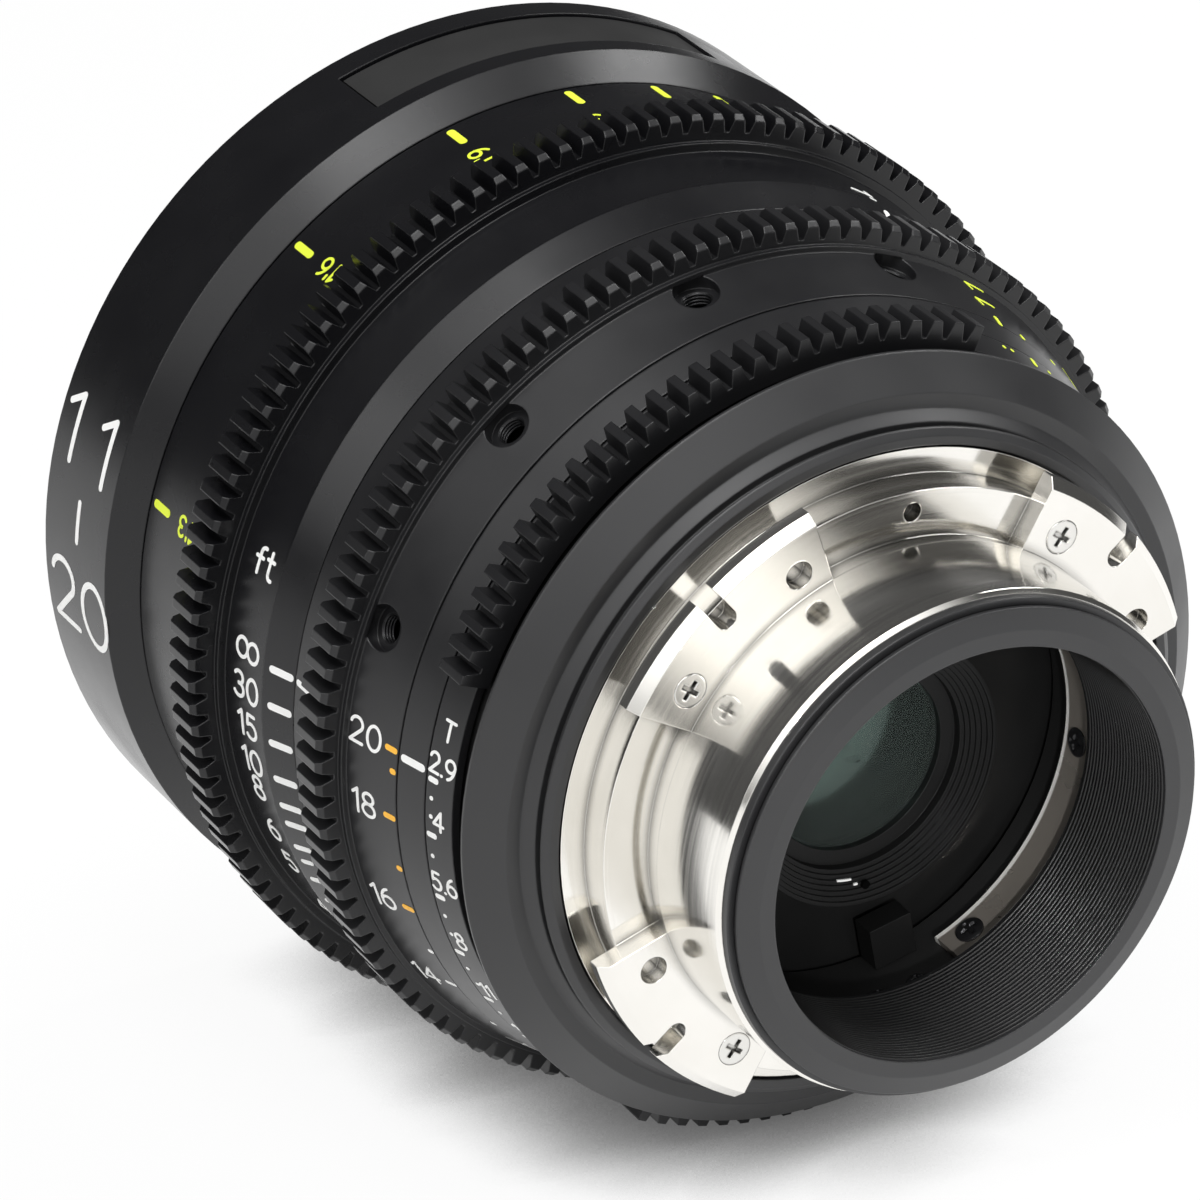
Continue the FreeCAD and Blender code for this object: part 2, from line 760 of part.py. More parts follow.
def bore_slot(body, name, place_along, travel, angle, count):
    # a lengthwise slot through the barrel wall for each guide pin, with room for its travel
    sketch = radial_sketch(body, name, total(size("barrel_radius"), size("edge_break")), angle)
    half = d("pin_radius", "pin_gap")
    low = less(place_along, half)
    high = total(place_along, travel, half)
    side = less("0", half)
    corners = [(low, side), (high, side), (high, half), (low, half)]
    draw_outline(sketch, corners)
    wall = less(size("barrel_radius"), size("barrel_bore"))
    cut = pocket(body, name + "_cut", sketch, total(wall, "2 * " + size("edge_break")))
    polar(body, name + "s", [cut], count, "360 - 360 / (%s)" % count)


def main_barrel():
    start = FLOOR_END
    spigot = less(size("socket_radius"), size("fit_gap"))
    shoulder = less(BODY_END, start)
    step = less(total(BAND_START, size("edge_break")), start)
    end = less(size("barrel_end"), start)
    barrel = turned("main_barrel", start, [
        (size("barrel_bore"), "0"),
        (spigot, "0"),
        (spigot, shoulder),
        (size("iris_track"), shoulder),
        (size("iris_track"), step),
        (size("barrel_radius"), step),
        (size("barrel_radius"), end),
        (size("barrel_bore"), end),
    ])
    count = size("pin_count")
    for name, angle in (("focus", "30"), ("zoom", "60"), ("relay", "90")):
        middle = less(d(name + "_carriage_start", name + "_pin_place"), start)
        bore_slot(barrel, name + "_slot", middle, size(name + "_travel"), angle, count)
    key_sketch = meridian_sketch(barrel, "key_slot", less(size("key_angle"), size("iris_turn") + " / 2"))
    half = d("key_radius", "key_gap")
    middle = less(KEY_PLACE, start)
    draw_outline(key_sketch, [
        (less(size("barrel_bore"), size("cut_overrun")), less(middle, half)),
        (d("iris_track", "cut_overrun"), less(middle, half)),
        (d("iris_track", "cut_overrun"), total(middle, half)),
        (less(size("barrel_bore"), size("cut_overrun")), total(middle, half)),
    ])
    margin = "2 * asin((%s) / %s) / 1deg" % (half, size("barrel_bore"))
    revolve(barrel, "key_slot_cut", key_sketch, total(size("iris_turn"), margin), cut=True)


def index_band():
    turned("index_band", BAND_START, [
        (size("barrel_radius"), size("edge_break")),
        (size("iris_track"), size("edge_break")),
        (size("iris_track"), "0"),
        (size("band_rear_radius"), "0"),
        (size("band_front_radius"), size("band_width")),
        (size("barrel_radius"), size("band_width")),
    ])


def focus_index_ring():
    turned("focus_index_ring", INDEX_START, [
        (size("barrel_radius"), "0"),
        (size("index_radius"), "0"),
        (size("index_radius"), size("index_width")),
        (size("barrel_radius"), size("index_width")),
    ])


def gear_sector(ring, inside, middle):
    # a toothed part of the iris ring, centred on this angle
    share = less("1", size("slot_top_share"))
    arc = "360 / %s * (%s)" % (size("iris_teeth"), total(size("iris_gear_slots"), share))
    sketch = meridian_sketch(ring, "gear_rim", middle)
    start = "-" + size("iris_gear_overhang")
    end = less(size("iris_gear_width"), size("iris_gear_overhang"))
    draw_outline(sketch, [
        (inside, start),
        (size("iris_gear_radius"), start),
        (size("iris_gear_radius"), end),
        (inside, end),
    ])
    revolve(ring, "gear_sector", sketch, arc)
    first = total(middle, "180 / %s * (%s)" % (size("iris_teeth"), less(size("iris_gear_slots"), "1")))
    cut_teeth(ring, start, size("iris_gear_width"), size("iris_gear_radius"), size("iris_teeth"),
              first, size("iris_gear_slots"))


def iris_ring():
    bore = d("iris_track", "running_gap")
    ring = turned("iris_ring", IRIS_START, [
        (bore, "0"),
        (size("iris_rear_radius"), "0"),
        (size("iris_front_radius"), size("iris_width")),
        (bore, size("iris_width")),
    ])
    for middle in ("iris_gear_middle", "iris_far_gear_middle"):
        gear_sector(ring, total(bore, size("running_gap")), size(middle))
    key_sketch = radial_sketch(ring, "key_hole", d("iris_front_radius", "edge_break"), size("key_angle"))
    draw_side_circle(key_sketch, d("key_radius", "fit_gap"), less(KEY_PLACE, IRIS_START))
    pocket(ring, "key_hole_cut", key_sketch, less(d("iris_front_radius", "edge_break"), size("iris_track")))


def iris_drive_ring():
    outer = less(size("barrel_bore"), size("running_gap"))
    width = less(COVER_START, BLADE_START, "2 * " + size("blade_clearance"))
    ring = turned("iris_drive_ring", total(BLADE_START, size("blade_clearance")), [
        (DRIVE_INNER, "0"),
        (outer, "0"),
        (outer, width),
        (DRIVE_INNER, width),
    ])
    sketch = radial_sketch(ring, "key_hole", total(outer, size("edge_break")), size("key_angle"))
    draw_side_circle(sketch, d("key_radius", "fit_gap"), less(KEY_PLACE, BLADE_START, size("blade_clearance")))
    pocket(ring, "key_hole_cut", sketch, less(total(outer, size("edge_break")), total(DRIVE_INNER, size("key_seat_wall"))))


def iris_key():
    key = new_body("iris_key")
    sketch = radial_sketch(key, "section", size("key_end"), size("key_angle"))
    draw_side_circle(sketch, size("key_radius"), KEY_PLACE)
    pad(key, "shaft", sketch, less(size("key_end"), total(DRIVE_INNER, size("key_seat_wall"))), backwards=True)


def iris_base():
    start = FLOOR_END
    outer = less(size("barrel_bore"), size("fit_gap"))
    plate = less(size("iris_base_start"), start)
    end = total(plate, size("iris_base_thickness"))
    wall = less(outer, size("iris_base_wall"))
    base = turned("iris_base", start, [
        (wall, "0"),
        (outer, "0"),
        (outer, end),
        (APERTURE, end),
        (APERTURE, plate),
        (wall, plate),
    ])
    sketch = cross_sketch(base, "pivot", end)
    draw_circle(sketch, size("pivot_radius"), PIVOT_CIRCLE)
    post = pad(base, "pivot_pin", sketch, less(COVER_START, BLADE_START), backwards=True)
    polar(base, "pivot_pins", [post], size("blade_count"))


def iris_cover():
    outer = less(size("barrel_bore"), size("fit_gap"))
    turned("iris_cover", COVER_START, [
        (APERTURE, "0"),
        (outer, "0"),
        (outer, size("iris_cover_thickness")),
        (APERTURE, size("iris_cover_thickness")),
    ])


def iris_blade(index):
    blade = new_body("iris_blade_%d" % (index + 1))
    thick = size("blade_thickness")
    band_sketch = meridian_sketch(blade, "band", total("90", size("blade_sweep") + " / 2"))
    draw_outline(band_sketch, [
        (BLADE_INNER, "0"),
        (BLADE_OUTER, "0"),
        (BLADE_OUTER, thick),
        (BLADE_INNER, thick),
    ])
    revolve(blade, "arc", band_sketch, size("blade_sweep"))
    ear_sketch = cross_sketch(blade, "ear", "0")
    draw_circle(ear_sketch, size("blade_ear"), PIVOT_CIRCLE)
    pad(blade, "ear_pad", ear_sketch, thick, backwards=True)
    arm_sketch = cross_sketch(blade, "arm", "0")
    draw_trapezoid(arm_sketch, total(BLADE_INNER, size("edge_break")), "2 * " + size("blade_ear"),
                   PIVOT_CIRCLE, "2 * " + size("blade_ear"))
    pad(blade, "arm_pad", arm_sketch, thick, backwards=True)
    hole_sketch = cross_sketch(blade, "pivot_hole", "0")
    draw_circle(hole_sketch, d("pivot_radius", "pivot_gap"), PIVOT_CIRCLE)
    pocket(blade, "pivot_hole_cut", hole_sketch, thick)
    level = total(BLADE_START, size("blade_clearance"), "%d * %s" % (index, size("blade_spacing")))
    place(blade, level, "360 / %s * %d" % (size("blade_count"), index))


def zoom_ring():
    shoulder = size("zoom_scale_width")
    gear = d("zoom_scale_width", "zoom_shoulder_width")
    end = total(gear, size("zoom_gear_width"))
    relief_start = size("zoom_relief_place")
    relief_end = d("zoom_relief_place", "zoom_relief_width")
    ring = turned("zoom_ring", ZOOM_START, [
        (RING_BORE, "0"),
        (size("zoom_rear_radius"), "0"),
        (size("zoom_scale_radius"), shoulder),
        (size("zoom_shoulder_radius"), shoulder),
        (size("zoom_shoulder_radius"), gear),
        (less(size("zoom_gear_radius"), size("tooth_bevel")), gear),
        (size("zoom_gear_radius"), total(gear, size("tooth_bevel"))),
        (size("zoom_gear_radius"), less(end, size("tooth_bevel"))),
        (less(size("zoom_gear_radius"), size("tooth_bevel")), end),
        (RING_BORE, end),
        (RING_BORE, relief_end),
        (size("relief_bore"), relief_end),
        (size("relief_bore"), relief_start),
        (RING_BORE, relief_start),
    ])
    cut_teeth(ring, gear, size("zoom_gear_width"), size("zoom_gear_radius"), size("zoom_teeth"),
              size("zoom_gear_phase"))
    cone = "%s + (%s - %s) * %s / %s" % (
        size("zoom_rear_radius"), size("zoom_scale_radius"), size("zoom_rear_radius"),
        size("lever_place"), size("zoom_scale_width"))
    outside = total(cone, size("edge_break"))
    for group, angle in (("upper", size("lever_angle")), ("lower", total(size("lever_angle"), "180"))):
        wide_sketch = radial_sketch(ring, group + "_lever_seat", outside, angle)
        draw_side_circle(wide_sketch, size("lever_spread") + " / 2", size("lever_place"))
        wide = pocket(ring, group + "_lever_seat_cut", wide_sketch, d("lever_spread_depth", "edge_break"))
        deep_sketch = radial_sketch(ring, group + "_lever_hole", outside, angle)
        draw_side_circle(deep_sketch, size("lever_hole") + " / 2", size("lever_place"))
        deep = pocket(ring, group + "_lever_hole_cut", deep_sketch,
                      d("lever_spread_depth", "lever_hole_depth", "edge_break"))
        polar(ring, group + "_lever_holes", [wide, deep], size("lever_count"), size("lever_arc"))


def focus_ring():
    relief_start = size("focus_relief_place")
    relief_end = d("focus_relief_place", "focus_relief_width")
    tip = size("focus_gear_radius")
    ring = turned("focus_ring", FOCUS_START, [
        (RING_BORE, "0"),
        (size("tick_rear_radius"), "0"),
        (size("tick_front_radius"), NUMBER_START),
        (size("number_rear_radius"), NUMBER_START),
        (size("number_front_radius"), SHOULDER_START),
        (size("focus_shoulder_radius"), SHOULDER_START),
        (size("focus_shoulder_radius"), FOCUS_GEAR_START),
        (less(tip, size("tooth_bevel")), FOCUS_GEAR_START),
        (tip, total(FOCUS_GEAR_START, size("tooth_bevel"))),
        (tip, less(FOCUS_GEAR_END, size("tooth_bevel"))),
        (less(tip, size("tooth_bevel")), FOCUS_GEAR_END),
        (size("focus_band_radius"), FOCUS_GEAR_END),
        (size("focus_band_radius"), FOCUS_END),
        (RING_BORE, FOCUS_END),
        (RING_BORE, relief_end),
        (size("relief_bore"), relief_end),
        (size("relief_bore"), relief_start),
        (RING_BORE, relief_start),
    ])
    cut_teeth(ring, FOCUS_GEAR_START, size("focus_gear_width"), tip, size("focus_teeth"), size("focus_gear_phase"))


def front_ring():
    length = less(FRONT_END, FRONT_START)
    sleeve = d("barrel_radius", "fit_gap")
    ledge = less(size("barrel_end"), FRONT_START)
    filter_floor = less(length, size("filter_depth"))
    ring = turned("front_ring", FRONT_START, [
        (sleeve, "0"),
        (size("front_rear_radius"), "0"),
        (size("front_radius"), size("front_cone_length")),
        (size("front_radius"), less(length, size("edge_break"))),
        (less(size("front_radius"), size("edge_break")), length),
        (size("filter_radius"), length),
        (size("filter_radius"), filter_floor),
        (d("cell_radius", "fit_gap"), filter_floor),
        (d("cell_radius", "fit_gap"), ledge),
        (sleeve, ledge),
    ])
    recess_end = less(length, size("plate_setback"))
    recess_start = less(recess_end, size("plate_recess_width"))
    recess_floor = less(size("front_radius"), size("plate_recess_depth"))
    sketch = meridian_sketch(ring, "plate_recess", size("plate_middle"))
    draw_outline(sketch, [
        (recess_floor, recess_start),
        (d("front_radius", "cut_overrun"), recess_start),
        (d("front_radius", "cut_overrun"), recess_end),
        (recess_floor, recess_end),
    ])
    revolve(ring, "plate_recess_cut", sketch, size("plate_recess_angle"), cut=True)


def name_plate():
    plate = new_body("blank_name_plate")
    inner = total(less(size("front_radius"), size("plate_recess_depth")), size("fit_gap"))
    outer = total(inner, size("plate_thickness"))
    width = less(size("plate_recess_width"), "2 * " + size("plate_margin"))
    sketch = meridian_sketch(plate, "section")
    draw_outline(sketch, [(inner, "0"), (outer, "0"), (outer, width), (inner, width)])
    margin_angle = "2 * %s / (%s) * 180 / pi" % (size("plate_margin"), outer)
    revolve(plate, "bend", sketch, less(size("plate_recess_angle"), margin_angle))
    start = less(FRONT_END, size("plate_setback"), size("plate_margin"), width)
    place(plate, start, size("plate_middle"))


def front_cell():
    start = less(size("barrel_end"), size("cell_reach"))
    seat = total(size("cell_reach"), size("ledge_depth"))
    end = d("cell_reach", "cell_depth")
    second = d("second_glass_radius", "fit_gap")
    front = d("front_glass_radius", "fit_gap")
    turned("front_cell", start, [
        (less(second, size("second_lip")), "0"),
        (less(size("barrel_bore"), size("fit_gap")), "0"),
        (less(size("barrel_bore"), size("fit_gap")), size("cell_reach")),
        (size("cell_radius"), size("cell_reach")),
        (size("cell_radius"), end),
        (front, end),
        (front, seat),
        (second, seat),
        (second, size("second_lip")),
        (less(second, size("second_lip")), size("second_lip")),
    ])


def meniscus(label, along, name, land, flipped=False):
    # a lens whose front bulges and whose rear is hollow, with flat rims that seat it
    radius = size(name + "_glass_radius")
    edge = size(name + "_glass_edge")
    bulge = size(name + "_glass_bulge")
    hollow = size(name + "_glass_hollow")
    rim = less(radius, land)
    depth = "(%s - sqrt((%s)^2 - (%s)^2))"
    element = new_body(label)
    sketch = meridian_sketch(element, "outline")
    draw_outline(sketch, [
        ("0", depth % (hollow, hollow, rim), hollow, -1),
        (rim, "0"),
        (radius, "0"),
        (radius, edge),
        (rim, edge, bulge, 1),
        ("0", total(edge, depth % (bulge, bulge, rim))),
    ])
    revolve(element, "turning", sketch)
    if flipped:
        element.Placement = FreeCAD.Placement(FreeCAD.Vector(), FreeCAD.Rotation(FreeCAD.Vector(0, 0, 1), 180))
        element.setExpression("Placement.Base.y", total(along, edge))
        return
    place(element, along)


def lock_ring(label, along, bore, outer, width):
    turned(label, along, [(bore, "0"), (outer, "0"), (outer, width), (bore, width)])


def front_optics():
    seat = total(size("barrel_end"), size("ledge_depth"))
    meniscus("front_element", seat, "front", size("rim_land"))
    lock_ring("front_lock_ring", total(seat, size("front_glass_edge")), size("retainer_bore"),
              size("front_glass_radius"), size("retainer_width"))
    second = less(size("barrel_end"), size("cell_reach"), "-" + size("second_lip"))
    meniscus("second_element", second, "second", size("rim_land"))
    lock_ring("second_lock_ring", total(second, size("second_glass_edge")), size("second_ring_bore"),
              size("second_glass_radius"), size("second_ring_width"))


def carriage(name, angle, pin_end):
    # a sliding tube with a web that holds one lens and three guide pins
    outer = less(size("barrel_bore"), size("running_gap"))
    inner = less(outer, size("carriage_wall"))
    width = size(name + "_carriage_width")
    web = "((%s) - (%s)) / 2" % (width, size("carriage_web"))
    web_end = total(web, size("carriage_web"))
    seat = d(name + "_glass_radius", "fit_gap")
    lip = less(seat, size("carriage_lip"))
    lip_end = total(web, size("lip_thickness"))
    tube = turned(name + "_carriage", size(name + "_carriage_start"), [
        (inner, "0"),
        (outer, "0"),
        (outer, width),
        (inner, width),
        (inner, web_end),
        (seat, web_end),
        (seat, lip_end),
        (lip, lip_end),
        (lip, web),
        (inner, web),
    ])
    sketch = radial_sketch(tube, "pin_hole", total(outer, size("edge_break")), angle)
    draw_side_circle(sketch, d("pin_radius", "fit_gap"), size(name + "_pin_place"))
    hole = pocket(tube, "pin_hole_cut", sketch, less(total(outer, size("edge_break")), size("pin_root")))
    polar(tube, "pin_holes", [hole], size("pin_count"), "360 - 360 / " + size("pin_count"))
    meniscus(name + "_element", total(size(name + "_carriage_start"), lip_end), name, size("rim_land"))
    for index in range(3):
        pin = new_body("%s_guide_pin_%d" % (name, index + 1))
        around = total(angle, "360 / %s * %d" % (size("pin_count"), index))
        pin_sketch = radial_sketch(pin, "section", size(pin_end), around)
        draw_side_circle(pin_sketch, size("pin_radius"), d(name + "_carriage_start", name + "_pin_place"))
        pad(pin, "shaft", pin_sketch, less(size(pin_end), size("pin_root")), backwards=True)


def rear_optics():
    outer = less(size("barrel_bore"), size("fit_gap"), size("iris_base_wall"), size("fit_gap"))
    hub = d("rear_cell_radius", "fit_gap")
    turned("rear_bulkhead", size("bulkhead_start"), [
        (hub, "0"),
        (outer, "0"),
        (outer, size("bulkhead_thickness")),
        (hub, size("bulkhead_thickness")),
    ])
    tread = "(%s - %s) / %s" % (size("rear_cell_radius"), size("rear_cell_mouth"), size("rear_cell_steps"))
    rise = "%s / %s" % (size("rear_cell_slope"), size("rear_cell_steps"))
    outline = []
    for step in range(int(SIZE["rear_cell_steps"])):
        level = "%s * %d" % (rise, step) if step else "0"
        outline.append((less(size("rear_cell_radius"), "%s * %d" % (tread, step)), level))
        outline.append((less(size("rear_cell_radius"), "%s * %d" % (tread, step + 1)), level))
    lip_end = d("rear_lip_place", "rear_lip_width")
    seat = d("rear_glass_radius", "fit_gap")
    outline += [
        (size("rear_cell_mouth"), size("rear_lip_place")),
        (size("rear_lip_radius"), size("rear_lip_place")),
        (size("rear_lip_radius"), lip_end),
        (seat, lip_end),
        (seat, size("rear_cell_length")),
        (size("rear_cell_radius"), size("rear_cell_length")),
    ]
    turned("rear_cell", size("rear_cell_start"), outline)
    glass = total(size("rear_cell_start"), lip_end)
    meniscus("rear_element", glass, "rear", size("rear_glass_land"), flipped=True)
    lock_ring("rear_lock_ring", total(glass, size("rear_glass_edge")), size("rear_lock_bore"),
              size("rear_glass_radius"), size("rear_lock_width"))


BLADE_START = d("iris_base_start", "iris_base_thickness")
BLADE_STACK = "(%s - 1) * %s + %s" % (size("blade_count"), size("blade_spacing"), size("blade_thickness"))
COVER_START = total(BLADE_START, BLADE_STACK, "2 * " + size("blade_clearance"))
KEY_PLACE = "(%s + %s) / 2" % (BLADE_START, COVER_START)


def check_and_write():
    failed = [item.Label for item in doc.Objects if "Invalid" in item.State or "Error" in item.State]
    if failed:
        raise SystemExit("failed objects: %s" % ", ".join(failed))
    bodies = [item for item in doc.Objects if item.TypeId == "PartDesign::Body"]
    for body in bodies:
        if body.Shape.isNull() or not body.Shape.isValid() or len(body.Shape.Solids) != 1:
            raise SystemExit("bad shape: %s" % body.Label)
    os.makedirs("parts", exist_ok=True)
    for body in bodies:
        body.Shape.exportStep("parts/%s.step" % body.Label)
        box = body.Shape.BoundBox
        print("%-18s %9.1f mm3  y %6.2f to %6.2f" % (body.Label, body.Shape.Volume, box.YMin, box.YMax))


mount_flange()
for screw_index in range(int(SIZE["lug_count"])):
    mount_screw(screw_index)
rear_tube()
inner_strip()
bore_block()
for screw_index in range(3):
    strip_screw(screw_index)
for screw_index in range(2):
    bore_screw(screw_index)
rear_body()
main_barrel()
index_band()
focus_index_ring()
iris_ring()
iris_drive_ring()
iris_key()
iris_base()
iris_cover()
for blade_index in range(int(SIZE["blade_count"])):
    iris_blade(blade_index)
zoom_ring()
focus_ring()
front_ring()
name_plate()
front_cell()
front_optics()
carriage("focus", "30", "cam_pin_end")
carriage("zoom", "60", "cam_pin_end")
carriage("relay", "90", "guide_pin_end")
rear_optics()
doc.recompute()
check_and_write()
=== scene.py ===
import math

import bmesh
import bpy
from mathutils import Matrix, Vector


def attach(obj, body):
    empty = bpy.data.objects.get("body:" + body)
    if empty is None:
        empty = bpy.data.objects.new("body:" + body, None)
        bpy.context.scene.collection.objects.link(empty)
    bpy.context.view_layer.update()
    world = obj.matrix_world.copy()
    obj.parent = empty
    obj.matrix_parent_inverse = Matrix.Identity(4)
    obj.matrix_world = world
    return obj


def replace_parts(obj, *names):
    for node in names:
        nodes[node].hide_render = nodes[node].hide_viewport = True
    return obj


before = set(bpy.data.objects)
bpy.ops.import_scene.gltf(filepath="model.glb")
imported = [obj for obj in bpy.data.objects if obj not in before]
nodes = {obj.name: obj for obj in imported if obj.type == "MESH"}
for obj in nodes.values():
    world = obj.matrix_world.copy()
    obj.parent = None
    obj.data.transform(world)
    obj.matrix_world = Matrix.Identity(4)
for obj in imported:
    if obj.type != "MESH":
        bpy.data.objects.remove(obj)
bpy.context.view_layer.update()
mm = 0.001
print("frame loaded:", len(nodes), "nodes")


# small helpers for node trees
def addNode(tree, kind, **settings):
    node = tree.nodes.new(kind)
    for name, value in settings.items():
        setattr(node, name, value)
    return node


def feed(node, **values):
    # sets a node's sockets by name, with the underscores read as spaces
    for name, value in values.items():
        node.inputs[name.replace("_", " ")].default_value = value


def newGroup(name, kind, inputs, outputs):
    tree = bpy.data.node_groups.new(name, kind)
    for direction, sockets in (("INPUT", inputs), ("OUTPUT", outputs)):
        for label, socketKind, value in sockets:
            socket = tree.interface.new_socket(label, in_out=direction, socket_type="NodeSocket" + socketKind)
            if value is not None:
                socket.default_value = value
    return tree, addNode(tree, "NodeGroupInput"), addNode(tree, "NodeGroupOutput")


def math2(tree, operation, first, second=None):
    # one Math node, whose inputs are sockets or numbers
    node = addNode(tree, "ShaderNodeMath", operation=operation)
    for place, value in enumerate((first, second)):
        if value is None:
            continue
        if isinstance(value, (int, float)):
            node.inputs[place].default_value = value
        else:
            tree.links.new(value, node.inputs[place])
    return node.outputs[0]


def axisPlace(tree):
    # the object coordinates, the place along the optical axis and the distance from it
    place = addNode(tree, "ShaderNodeTexCoord").outputs["Object"]
    split = addNode(tree, "ShaderNodeSeparateXYZ")
    tree.links.new(place, split.inputs[0])
    across, along, upward = split.outputs
    square = math2(tree, "ADD", math2(tree, "MULTIPLY", across, across), math2(tree, "MULTIPLY", upward, upward))
    return place, along, math2(tree, "SQRT", square)


# what the materials share: fine lathe lines round the optical axis, and a blasted grain
def buildTurnedGrain():
    tree, source, sink = newGroup(
        "turnedGrain", "ShaderNodeTree",
        (("Line Scale", "Float", 2500.0), ("Line Share", "Float", 0.5),
         ("Grain Scale", "Float", 6000.0), ("Grain Share", "Float", 0.5)),
        (("Height", "Float", None), ("Lines", "Float", None), ("Cloud", "Float", None)))
    place, along, radius = axisPlace(tree)
    flat = addNode(tree, "ShaderNodeCombineXYZ")
    tree.links.new(radius, flat.inputs[0])
    tree.links.new(along, flat.inputs[1])
    lines = addNode(tree, "ShaderNodeTexNoise", noise_dimensions="2D")
    feed(lines, Detail=3.0, Roughness=0.6)
    tree.links.new(flat.outputs[0], lines.inputs["Vector"])
    tree.links.new(source.outputs["Line Scale"], lines.inputs["Scale"])
    grain = addNode(tree, "ShaderNodeTexNoise", noise_dimensions="3D")
    feed(grain, Detail=2.0, Roughness=0.5)
    tree.links.new(place, grain.inputs["Vector"])
    tree.links.new(source.outputs["Grain Scale"], grain.inputs["Scale"])
    cloud = addNode(tree, "ShaderNodeTexNoise", noise_dimensions="3D")
    feed(cloud, Scale=90.0, Detail=4.0, Roughness=0.55)
    tree.links.new(place, cloud.inputs["Vector"])
    height = math2(tree, "ADD", math2(tree, "MULTIPLY", lines.outputs["Fac"], source.outputs["Line Share"]),
                   math2(tree, "MULTIPLY", grain.outputs["Fac"], source.outputs["Grain Share"]))
    tree.links.new(height, sink.inputs["Height"])
    tree.links.new(lines.outputs["Fac"], sink.inputs["Lines"])
    tree.links.new(cloud.outputs["Fac"], sink.inputs["Cloud"])
    return tree


turnedGrain = buildTurnedGrain()


def buildBoreMask():
    # 1 inside a radius round the optical axis and 0 outside
    tree, source, sink = newGroup(
        "boreMask", "ShaderNodeTree", (("Radius", "Float", 0.0245),), (("Inside", "Float", None),))
    place, along, radius = axisPlace(tree)
    tree.links.new(math2(tree, "LESS_THAN", radius, source.outputs["Radius"]), sink.inputs["Inside"])
    return tree


boreMask = buildBoreMask()

# the ramp by which nearness to other surfaces puts painted shade on a floor or a metal
paintedShadeRamp = {"From_Min": 0.15, "From_Max": 0.75, "To_Min": 0.12, "To_Max": 1.0}
# the part of the noise that the roughness follows
cloudRange = {"From_Min": 0.3, "From_Max": 0.7}
# the blackened inside of the mount, the painted highlights along the strip's edges, and the surface of the glasses
lining = {"tone": (0.006, 0.006, 0.006, 1), "rough": 0.5}
paintedRimHighlight = {"tone": (0.95, 0.94, 0.90, 1), "dulling": 0.6}
polish = {"tone": 0.96, "blur": 0.015, "index": 1.6}


